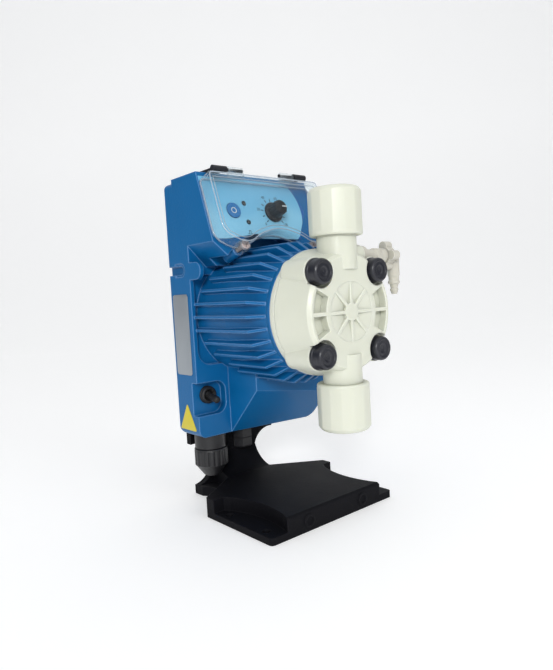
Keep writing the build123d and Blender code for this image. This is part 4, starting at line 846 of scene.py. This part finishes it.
@dataclass
class ControlPanel(Assembly):
    """Sloping panel with its film, key, lamps, dial and printed scale."""

    film: float = 0.8
    knob_x: float = 9.2
    knob_v: float = 24.0
    knob_r: float = 8.2
    grip_r: float = 6.2
    knob_low: float = 1.1
    knob_top: float = 12.3
    flutes: int = 14
    tick_r: tuple[float, float] = (9.4, 11.6)
    tick_w: float = 0.7
    tick_count: int = 11
    dial_ends: tuple[float, float] = (225.0, -45.0)
    number_r: float = 13.9
    number_size: float = 3.2
    key_x: float = -28.6
    key_v: float = 24.0
    key_r: float = 6.0
    key_low: float = 0.72
    key_top: float = 1.6
    key_mark_r: tuple[float, float] = (1.7, 2.4)
    key_mark_t: float = 0.1
    stem_r: float = 3.9
    stem_low: float = -4.5
    lamp_x: float = -17.3
    lamps_v: tuple[float, float] = (17.6, 32.9)
    lamp_r: float = 1.35
    lamp_ring_w: float = 0.55
    pulse_w: float = 0.35
    pulse: tuple = (
        ("low_a", (-20.4, 42.2), (-19.0, 42.2)),
        ("rise", (-19.0, 42.3), (-19.0, 39.6)),
        ("top", (-19.1, 39.7), (-17.5, 39.7)),
        ("fall", (-17.6, 39.6), (-17.6, 42.3)),
        ("low_b", (-17.6, 42.2), (-16.2, 42.2)),
    )

    def build(self) -> None:
        """Build the panel's pieces and dress its nodes."""
        self.own("membrane_film", "panel_membrane")
        self.own("board_laminate", "circuit_board")
        self.own("component_black", "board_chips", "button_switch", "potentiometer")
        self.own("steel", "dial_spindle")
        self.own("lamp_lens", "status_lamps")
        self.own("pointer_white", "knob_pointer")
        self.key()
        self.knob()
        self.scale()
        self.lines()

    def key(self) -> None:
        """Round key with a dished top and its stem behind the panel."""
        corners = [(0, self.stem_low), (self.stem_r, self.stem_low),
                   (self.stem_r, self.key_low), (self.key_r, self.key_low),
                   (self.key_r, self.key_top), (4.6, self.key_top), (3.4, self.key_top - 0.25),
                   (0, self.key_top - 0.3)]
        piece = lathe("select_key", corners, on_panel(self.key_x, self.key_v, 0), Along.PANEL,
                      radius=0.3, segments=64)
        self.put(piece, "button_blue", Mark.BUTTON, "select_button")
        mark = lathe("key_mark", ring_profile(*self.key_mark_r, self.key_mark_t),
                     on_panel(self.key_x, self.key_v, self.key_top - 0.32), Along.PANEL,
                     radius=0.02, segments=48)
        self.put(mark, "print_white", Mark.BUTTON, recorded="button_blue")

    def knob(self) -> None:
        """Fluted dial knob: skirt, tapered grip and domed crown."""
        def ripple(angle: Array, height: Array, radius: Array) -> Array:
            grip = (height > self.knob_low + 2.6) & (radius > self.grip_r - 1.4)
            wave = 0.045 * (np.abs(np.cos(angle * self.flutes / 2)) ** 3)
            return 1 - np.where(grip, wave, 0)

        low, top = self.knob_low, self.knob_top
        corners = [(3.1, low), (self.knob_r, low), (self.knob_r, low + 1.4),
                   (self.knob_r - 1, low + 2.2), (self.grip_r + 0.1, low + 2.4),
                   (self.grip_r, low + 2.7), (self.grip_r - 0.35, top - 1.2),
                   (self.grip_r - 0.9, top - 0.3), (3.2, top), (3.1, top), (3.1, low)]
        piece = lathe("dial_knob_grip", corners, on_panel(self.knob_x, self.knob_v, 0),
                      Along.PANEL, radius=0.35, segments=168, ripple=ripple)
        self.put(piece, "knob_black", Mark.DIAL, "dial_knob")
        crown = [(0, top - 1.6), (3.05, top - 1.6), (3.05, top - 0.15), (2.2, top), (0, top)]
        piece = lathe("dial_knob_crown", crown, on_panel(self.knob_x, self.knob_v, 0),
                      Along.PANEL, radius=0.2, segments=48)
        self.put(piece, "knob_black", Mark.DIAL)

    def bar(self, name: str, start: tuple[float, float], end: tuple[float, float],
            wide: float) -> None:
        """Thin printed bar between two panel points (x, v).

        Args:
            name: Name of the piece.
            start: First point.
            end: Second point.
            wide: Width of the bar.
        """
        a = np.array([start[0], -start[1]])
        b = np.array([end[0], -end[1]])
        ahead = (b - a) / np.linalg.norm(b - a)
        side = np.array([-ahead[1], ahead[0]]) * wide / 2
        outline = np.array([a - side, b - side, b + side, a + side])
        piece = plate(name, outline, PRINT_THICK, lambda p: panel_at(p + [0, 0, self.film]),
                      round_edge=0.02, steps=2)
        self.put(piece, "print_dark", Mark.HOUSING, recorded="membrane_film")

    def scale(self) -> None:
        """Ticks round the dial and plain numbers from 0 to 100."""
        angles = np.radians(np.linspace(*self.dial_ends, self.tick_count))
        for index, angle in enumerate(angles):
            way = np.array([math.cos(angle), -math.sin(angle)])
            centre = np.array([self.knob_x, self.knob_v])
            self.bar(f"scale_tick_{index}", tuple(centre + way * self.tick_r[0]),
                     tuple(centre + way * self.tick_r[1]), self.tick_w)
            if index % 2 == 0:
                self.number(str(index * 10), *(centre + way * self.number_r))

    def number(self, text: str, x: float, v: float) -> None:
        """Printed number centred on a panel point.

        Args:
            text: Digits to print.
            x: Sideways place.
            v: Place down the slope.
        """
        curve = bpy.data.curves.new(f"number_{text}", "FONT")
        curve.body = text
        curve.size = self.number_size
        curve.align_x, curve.align_y = "CENTER", "CENTER"
        curve.extrude = 0.02
        draft = bpy.data.objects.new(f"number_{text}", curve)
        mesh = bpy.data.meshes.new_from_object(draft)
        local = np.empty(len(mesh.vertices) * 3)
        mesh.vertices.foreach_get("co", local)
        local = local.reshape(-1, 3) + [x, -v, self.film + 0.03]
        mesh.vertices.foreach_set("co", (panel_at(local) * MM).ravel())
        mesh.update()
        bpy.data.objects.remove(draft)
        piece = add_object(f"scale_number_{text}", mesh)
        self.put(piece, "print_dark", Mark.HOUSING, recorded="membrane_film")

    def lines(self) -> None:
        """Printed rings round the lamps and a small pulse sign under them."""
        for index, v in enumerate(self.lamps_v):
            inner = self.lamp_r + 0.15
            ring = lathe(f"lamp_ring_{index}",
                         ring_profile(inner, inner + self.lamp_ring_w, PRINT_THICK),
                         on_panel(self.lamp_x, v, self.film), Along.PANEL, radius=0.01,
                         segments=72)
            self.put(ring, "print_dark", Mark.HOUSING, recorded="membrane_film")
        for name, start, end in self.pulse:
            self.bar(f"pulse_{name}", start, end, self.pulse_w)


@dataclass
class ClearCover(Assembly):
    """Clear moulded cover over the panel, its hinge arms and its captive screws."""

    half: float = 53.4
    seat: float = 1.0
    tall: float = 15.0
    wall: float = 1.7
    shoulder: float = 3.2
    side_v: float = 47.5
    screw_x: float = 33.5
    screw_v: float = 55.0
    boss_r: float = 5.1
    lug_x: float = 25.0
    lug_w: float = 13.0
    hinge_v: float = -4.0
    hinge_h: float = 9.0
    pin_r: float = 1.35
    eye_r: float = 2.6

    def outline(self) -> Array:
        """Rounded outline of the cover, anticlockwise, y up the slope."""
        sx, sv, r = self.screw_x, self.screw_v, self.boss_r
        corners = [(-self.half, -0.1), (-self.half, -self.side_v), (-sx - r, -sv),
                   (-sx + r, -sv), (-sx + 14, -49.0), (0, -43.4), (sx - 14, -49.0),
                   (sx - r, -sv), (sx + r, -sv), (self.half, -self.side_v),
                   (self.half, -0.1)]
        radii = [5, 9, 6, 6, 12, 22, 12, 6, 6, 9, 5]
        return round_outline(corners, radii, steps=14)

    def bead(self, name: str, rim: Array, inset: float, height: float,
             radius: float) -> None:
        """Rounded bead along the cover, where its edge gathers the light.

        Args:
            name: Name of the piece.
            rim: Outline of the cover.
            inset: How far inside the outline the bead runs.
            height: Height above the panel.
            radius: Radius of the bead.
        """
        line = rim - inset * outward(rim)
        path = panel_at(np.column_stack([line, np.full(len(line), height)]))
        self.put(tube(name, path, radius), "clear_edge", Mark.LID,
                 recorded="clear_cover")

    def build(self) -> None:
        """Build the shell, its eyes and bosses, and dress the rest."""
        self.own("hinge_black", "hinge_arms")
        self.own("lid_screw_plastic", "lid_screws")
        rim = self.outline()
        self.bead("cover_bead_foot", rim, 0.7, self.seat + 0.7, 0.6)
        self.bead("cover_bead_shoulder", rim, 1.3, self.tall - 1.4, 0.45)
        self.bead("cover_bead_inner", rim, self.shoulder + 1.2, self.tall - 2.2, 0.3)
        count = len(rim)
        t = np.linspace(0, math.pi / 2, 8)
        inset = np.concatenate([[0.0, 0.0], self.shoulder * (1 - np.cos(t))])
        height = np.concatenate([[self.seat, self.seat + 3],
                                 self.tall - self.shoulder * (1 - np.sin(t))])
        faces = grid_faces(len(inset), count).tolist()
        last = (len(inset) - 1) * count
        faces.append(list(range(last, last + count)))
        shell = add_mesh("cover_shell", panel_at(stacked_rims(rim, inset, height)), faces)
        thick = shell.modifiers.new("wall", "SOLIDIFY")
        thick.thickness = self.wall * MM
        thick.offset = -1.0
        self.put(shell, "clear_cover", Mark.LID, "panel_cover")
        for side, name in ((-1, "left"), (1, "right")):
            x = side * self.screw_x
            corners = [(2.2, self.seat), (self.boss_r - 0.4, self.seat),
                       (self.boss_r - 0.8, self.tall - 4.6), (3.75, self.tall - 4.6),
                       (3.75, self.tall - 7.5), (2.2, self.tall - 7.5), (2.2, self.seat)]
            boss = lathe(f"cover_boss_{name}", corners, on_panel(x, self.screw_v, 0),
                         Along.PANEL, radius=0.3, segments=56)
            self.put(boss, "clear_cover", Mark.LID)
            start = side * self.lug_x - self.lug_w / 2
            eye = lathe(f"cover_eye_{name}",
                        ring_profile(self.pin_r, self.eye_r, self.lug_w),
                        on_panel(start, self.hinge_v, self.hinge_h), Along.RIGHT,
                        radius=0.4, segments=40)
            self.put(eye, "clear_cover", Mark.LID)
            web = np.array([[start, -0.6], [start + self.lug_w, -0.6],
                            [start + self.lug_w, 2.2], [start, 2.2]])
            low = self.hinge_h - self.eye_r + 0.8
            leaf = plate(f"cover_web_{name}", web, 2 * self.eye_r - 1.6,
                         lambda p, low=low: panel_at(p + [0, 0, low]), round_edge=0.3)
            self.put(leaf, "clear_cover", Mark.LID)


@dataclass
class PowerSwitch(Assembly):
    """Toggle switch under its ribbed rubber boot."""

    x: float = -40.5
    z: float = 87.0
    floor: float = 24.5
    boot_r: float = 7.0
    boot_t: float = 4.5
    pivot: float = 26.0
    tilt: float = 13.0
    long: float = 14.5

    def build(self) -> None:
        """Build the boot and the lever, and dress the body behind them."""
        self.own("component_black", "switch_body")
        r, t = self.boot_r, self.boot_t
        corners = [(3.3, 0), (r, 0), (r, 1.3), (r - 0.7, 1.7), (r - 0.7, 2.2), (r - 0.1, 2.6),
                   (r - 0.5, t - 0.6), (r - 1.6, t), (5.1, t), (3.4, t - 1.9), (3.3, 0)]
        boot = lathe("boot_ring", corners, place(self.x, self.floor, self.z), Along.FRONT,
                     radius=0.35, segments=72)
        self.put(boot, "black_rubber", Mark.HOUSING, "switch_boot")
        corners = [(0, -2.6), (2.6, -1.8), (3.15, 0), (2.6, 1.8), (2.1, 3.0), (2.5, 4.4),
                   (2.15, 5.4), (2.6, 6.8), (2.3, 7.8), (2.75, 9.2), (2.8, self.long - 1.8),
                   (2.2, self.long - 0.4), (0, self.long)]
        lever = lathe("boot_lever", corners, np.zeros(3), Along.FRONT, radius=0.6,
                      segments=56)
        lever.data.transform(Matrix.Rotation(math.radians(self.tilt), 4, "X"))
        lever.data.transform(Matrix.Translation(
            Vector(place(self.x, self.pivot, self.z) * MM)))
        self.put(lever, "black_rubber", Mark.SWITCH, "switch_lever", recorded="steel")


@dataclass
class LiquidEnd(Assembly):
    """White head with its union nuts, black bolt caps and inner valves."""

    valve_depth: float = 133.0
    nut_r: float = 18.1
    facets: int = 14
    nuts: tuple = ((199.0, 231.0, Along.UP), (100.0, 67.5, Along.DOWN))
    bolt_half: float = 27.15
    cap_low: float = 138.6
    cap_front: float = 147.8
    cap_r: float = 9.0
    face_depth: float = 144.4
    petal_r: tuple[float, float] = (5.8, 20.3)
    pocket_r: tuple[float, float] = (23.9, 35.6)
    pocket_deep: float = 12.1
    pocket_span: float = 27.1
    pocket_fill: float = 6.5

    def build(self) -> None:
        """Build nuts and caps, and dress the head and everything inside it."""
        self.own("head_plastic", "pump_head", "head_backplate", "discharge_connector",
                 "suction_connector")
        self.own("valve_plastic", "discharge_valve", "suction_valve")
        self.own("ball_ceramic", "discharge_ball", "suction_ball")
        self.own("seal_rubber", "valve_seals")
        self.own("zinc_screws", "head_bolts")
        for (near, far, along), name in zip(self.nuts, ("discharge", "suction")):
            self.nut(name, near, abs(far - near), along)
        self.caps()
        self.face()

    def face(self) -> None:
        """Sloping floor of the petals and the raised floors of the two side pockets.

        The petals' floor is a cone that rises from the hub to the rim of the disc. Each
        side floor is a slab between two arcs of the pocket's radii.
        """
        low, high = self.petal_r
        corners = [(low, -2.9), (high, -2.9), (high, -0.2), (low, -2.45), (low, -2.9)]
        floor = lathe("head_petal_floor", corners, place(0, self.face_depth, HEAD_Z),
                      Along.FRONT, radius=0.05, segments=128)
        self.put(floor, "head_plastic", Mark.HOUSING)
        turn = np.radians(np.linspace(-self.pocket_span, self.pocket_span, 24))
        for side, name in ((-1, "left"), (1, "right")):
            rims = [np.column_stack([side * r * np.cos(turn), r * np.sin(turn)])
                    for r in (self.pocket_r[1], self.pocket_r[0])]
            outline = np.vstack([rims[0], rims[1][::-1]])[::side]
            slab = plate(f"head_pocket_floor_{name}", outline, self.pocket_fill,
                         lambda p: place(0, self.face_depth - self.pocket_deep, HEAD_Z)
                         + np.column_stack([p[:, 0], -p[:, 2], p[:, 1]]))
            self.put(slab, "head_plastic", Mark.HOUSING)

    def nut(self, name: str, near: float, tall: float, along: Along) -> None:
        """Union nut: shallow flats, a plain collar and a rounded outer end.

        Args:
            name: Which port it belongs to.
            near: Height of its end nearer the head.
            tall: Length of the nut.
            along: Direction away from the head.
        """
        def flats(angle: Array, height: Array, radius: Array) -> Array:
            pitch = 2 * math.pi / self.facets
            off = (angle + pitch / 2) % pitch - pitch / 2
            shape = np.cos(pitch / 2) / np.cos(off)
            body = (radius > self.nut_r - 1.2) & (height > 2.6) & (height < tall - 3.2)
            return np.where(body, 0.35 + 0.65 * shape / np.cos(pitch / 2) * 0.986, 1.0)

        r = self.nut_r
        corners = [(13.6, 0), (r - 0.9, 0), (r - 0.1, 0.9), (r - 0.1, 2.2), (r, 2.7),
                   (r, tall - 3.3), (r - 0.2, tall - 2.7), (r - 1.6, tall - 0.7),
                   (r - 2.8, tall), (6.0, tall), (6.0, tall - 7), (13.6, tall - 7), (13.6, 0)]
        nut = lathe(f"union_nut_{name}", corners, place(0, self.valve_depth, near), along,
                    radius=0.5, segments=168, ripple=flats)
        self.put(nut, "head_plastic", Mark.HOUSING, f"{name}_nut")

    def caps(self) -> None:
        """Four black caps with a dished, stepped face, as one piece of four."""
        r, tall = self.cap_r, self.cap_front - self.cap_low
        corners = [(4.7, 0), (r - 0.2, 0), (r, 0.5), (r, 2.0), (r - 0.5, 2.3),
                   (r - 0.5, tall - 2.4), (r - 0.9, tall - 1.0), (r - 2.0, tall),
                   (r - 2.7, tall), (r - 3.1, tall - 1.0), (r - 3.6, tall - 1.2),
                   (3.4, tall - 1.0), (2.6, tall - 1.7), (0.2, tall - 1.7), (0.2, tall - 2.6),
                   (4.7, tall - 3.6), (4.7, 0)]
        points, faces = [], []
        for x in (-self.bolt_half, self.bolt_half):
            for z in (-self.bolt_half, self.bolt_half):
                cap = lathe("cap", corners, place(x, self.cap_low, HEAD_Z + z), Along.FRONT,
                            radius=0.35, segments=72)
                base = sum(len(part) for part in points)
                local = np.empty(len(cap.data.vertices) * 3)
                cap.data.vertices.foreach_get("co", local)
                points.append(local.reshape(-1, 3) / MM)
                faces += [[base + v for v in p.vertices] for p in cap.data.polygons]
                bpy.data.objects.remove(cap)
        caps = add_mesh("bolt_caps_dished", np.vstack(points), faces)
        self.put(caps, "cap_black", Mark.HOUSING, "bolt_caps")


@dataclass
class BleedValve(Assembly):
    """Bleed valve on the right of the discharge neck."""

    depth: float = 131.0
    z: float = 186.0
    body_r: float = 5.55
    start: float = 12.4
    end: float = 50.2
    nipple_x: float = 62.2

    def build(self) -> None:
        """Build the ridged body and the barbed nipple."""
        self.own("bleed_plastic", "bleed_knob")
        r, long = self.body_r, self.end - self.start
        corners = [(1.25, 0), (r, 0), (r, 9.9), (r + 1.55, 10.0), (r + 1.55, 14.4),
                   (r, 14.8), (r - 0.9, 16.2), (r - 0.9, long - 12), (r - 0.1, long - 11.4),
                   (r - 0.1, long - 6.4), (r - 0.8, long - 5.8), (r - 0.1, long - 5.0),
                   (r, long - 0.3), (2.4, long), (2.35, self.nipple_x - self.start),
                   (1.25, self.nipple_x - self.start), (1.25, 0)]
        body = lathe("bleed_barrel", corners, place(self.start, self.depth, self.z),
                     Along.RIGHT, radius=0.3, segments=64)
        self.put(body, "bleed_plastic", Mark.HOUSING, "bleed_body")
        corners = [(1.25, 0), (2.0, 0), (3.2, 3.4), (3.25, 3.9), (2.5, 4.2), (3.3, 7.2),
                   (3.3, 7.5), (4.45, 7.8), (4.45, 9.4), (3.9, 10.2), (3.9, 13.0),
                   (4.45, 14.0), (4.45, 31.4), (3.6, 32.4), (1.25, 32.45), (1.25, 0)]
        nipple = lathe("bleed_barb", corners, place(self.nipple_x, self.depth, 157.5),
                       Along.UP, radius=0.3, segments=56)
        self.put(nipple, "bleed_plastic", Mark.HOUSING, "bleed_nipple")


@dataclass
class CableGlands(Assembly):
    """Large and small cable glands under the casing."""

    x: float = -36.0
    depth: float = 18.5
    low: float = 21.0
    nut_r: float = 13.2
    ribs: int = 18

    def build(self) -> None:
        """Build the ribbed nut and dress the rest."""
        self.own("gland_black", "large_gland_body", "small_gland_body", "small_gland_nut",
                 "gland_locknuts")
        self.own("black_rubber", "large_gland_seal")

        def ribs(angle: Array, height: Array, radius: Array) -> Array:
            grip = (height > 9.6) & (height < 21.0) & (radius > self.nut_r - 1.0)
            wave = 0.06 * np.abs(np.sin(angle * self.ribs / 2)) ** 6
            return 1 - np.where(grip, wave, 0)

        r = self.nut_r
        corners = [(4.0, 0), (5.2, 0), (6.6, 0.7), (12.4, 8.6), (r, 9.4), (r, 9.8),
                   (r, 20.8), (r - 0.2, 21.4), (r - 0.2, 22.4), (9.05, 22.6),
                   (9.05, 4.5), (4.0, 3.5), (4.0, 0)]
        nut = lathe("gland_dome_nut", corners, place(self.x, self.depth, self.low), Along.UP,
                    radius=0.5, segments=216, ripple=ribs)
        self.put(nut, "gland_black", Mark.HOUSING, "large_gland_nut")


@dataclass
class FootBracket(Assembly):
    """Black foot plate with its waisted arm."""

    def build(self) -> None:
        """Dress the bracket and its screws."""
        self.own("bracket_black", "foot_bracket")
        self.own("zinc_screws", "bracket_screws")


@dataclass
class Studio:
    """Floor, lights, backdrop and the camera."""

    camera_at: tuple = (-287.3, BACK_Y - 405.2, 163.6)
    azimuth: float = -40.2
    elevation: float = 4.2
    roll: float = -3.2
    focal: float = 579.3
    long_side: float = 670.0
    sensor: float = 36.0
    sheet: float = 3600.0
    bend_at: float = 1500.0
    bend_r: float = 900.0

    def build(self) -> None:
        """Set up the whole studio."""
        self.floor()
        self.lights()
        self.world()
        self.camera()

    def floor(self) -> None:
        """Pale sheet: level under the foot, then a quarter round and a wall far behind."""
        turn = np.linspace(0, math.pi / 2, 24)
        run = np.concatenate([[-self.sheet], self.bend_at + self.bend_r * np.sin(turn),
                              [self.bend_at + self.bend_r]])
        rise = np.concatenate([[0.0], self.bend_r * (1 - np.cos(turn)), [self.sheet]]) - 0.05
        az = math.radians(self.azimuth)
        away = np.array([-math.sin(az), math.cos(az)])
        side = np.array([math.cos(az), math.sin(az)])
        edges = [run[:, None] * away + reach * side for reach in (-self.sheet, self.sheet)]
        points = np.stack([np.column_stack([edge, rise]) for edge in edges], axis=1)
        row = 2 * np.arange(len(run) - 1)
        quads = np.stack([row, row + 1, row + 3, row + 2], axis=1).tolist()
        ground = add_mesh("studio_floor", points.reshape(-1, 3), quads)
        made, g = new_material("floor_pale")
        grain = g.add("TexNoise", {"Scale": 3.0, "Detail": 3.0}).outputs["Fac"]
        tone = g.blend(grain, (0.87, 0.87, 0.87), (0.89, 0.89, 0.89))
        matt = g.add("BsdfPrincipled", {"Base Color": tone, "Roughness": 0.7,
                                        "Specular IOR Level": 0.2,
                                        "Emission Color": (1.0, 1.0, 1.0, 1.0),
                                        "Emission Strength": 0.26})
        g.add("OutputMaterial", {"Surface": matt.outputs[0]})
        ground.data.materials.append(made)

    def lights(self) -> None:
        """Wide soft ceiling, a small key in front and a softened flash behind the camera."""
        for name, where, power, size, look in (
            ("ceiling", (0, 0, 4200), 140.0, 9.0, (0, 0, 0)),
            ("key", (90, -950, 700), 1.6, 0.5, (0, -40, 130)),
            ("flash", (-1750, -1850, 1050), 40.0, 0.6, (0, -20, 130)),
        ):
            lamp = bpy.data.lights.new(name, "AREA")
            lamp.energy = power
            lamp.size = size
            rig = add_object(name, lamp)
            rig.location = Vector(where) * MM
            aim = (Vector(look) - Vector(where)).normalized()
            rig.rotation_euler = aim.to_track_quat("-Z", "Y").to_euler()

    def world(self) -> None:
        """Soft even room light, and a white backdrop where the camera sees it."""
        world = bpy.data.worlds.new("room")
        bpy.context.scene.world = world
        world.use_nodes = True
        g = Graph(world.node_tree)
        path = g.add("LightPath").outputs
        seen = g.math("MAXIMUM", path["Is Camera Ray"], path["Is Transmission Ray"])
        light = g.add("Background", {"Color": (0.86, 0.9, 0.95, 1.0), "Strength": 0.2})
        white = g.add("Background", {"Color": (1.0, 1.0, 1.0, 1.0), "Strength": 1.0})
        both = g.add("MixShader", {0: seen, 1: light.outputs[0], 2: white.outputs[0]})
        g.add("OutputWorld", {"Surface": both.outputs[0]})

    def camera(self) -> None:
        """Camera in the product view: a little above, from the left of the front."""
        data = bpy.data.cameras.new("product_view")
        data.sensor_width = self.sensor
        data.lens = self.focal / self.long_side * self.sensor
        data.clip_start, data.clip_end = 0.01, 20.0
        az, el, roll = (math.radians(v) for v in (self.azimuth, self.elevation, self.roll))
        ahead = np.array([-math.sin(az) * math.cos(el), math.cos(az) * math.cos(el),
                          -math.sin(el)])
        right = np.array([math.cos(az), math.sin(az), 0.0])
        up = np.cross(right, ahead)
        turned_right = math.cos(roll) * right + math.sin(roll) * up
        turned_up = -math.sin(roll) * right + math.cos(roll) * up
        axes = Matrix(np.column_stack([turned_right, turned_up, -ahead]).tolist())
        camera = add_object("product_view", data)
        camera.matrix_world = Matrix.Translation(
            Vector(self.camera_at) * MM) @ axes.to_4x4()
        bpy.context.scene.camera = camera


def main() -> None:
    """Load the frame, build every sub-assembly in order and set up the studio."""
    logging.basicConfig(level=logging.INFO, format="%(message)s")
    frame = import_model()
    bpy.context.scene.view_settings.view_transform = "Standard"
    palette = Palette()
    for kind in (Casing, Drive, ControlPanel, ClearCover, PowerSwitch, LiquidEnd, BleedValve,
                 CableGlands, FootBracket):
        part = kind(palette, frame)
        part.build()
        LOG.info("%s: %d new pieces", kind.__name__, len(part.made))
    Studio().build()


if __name__ == "__main__":
    main()
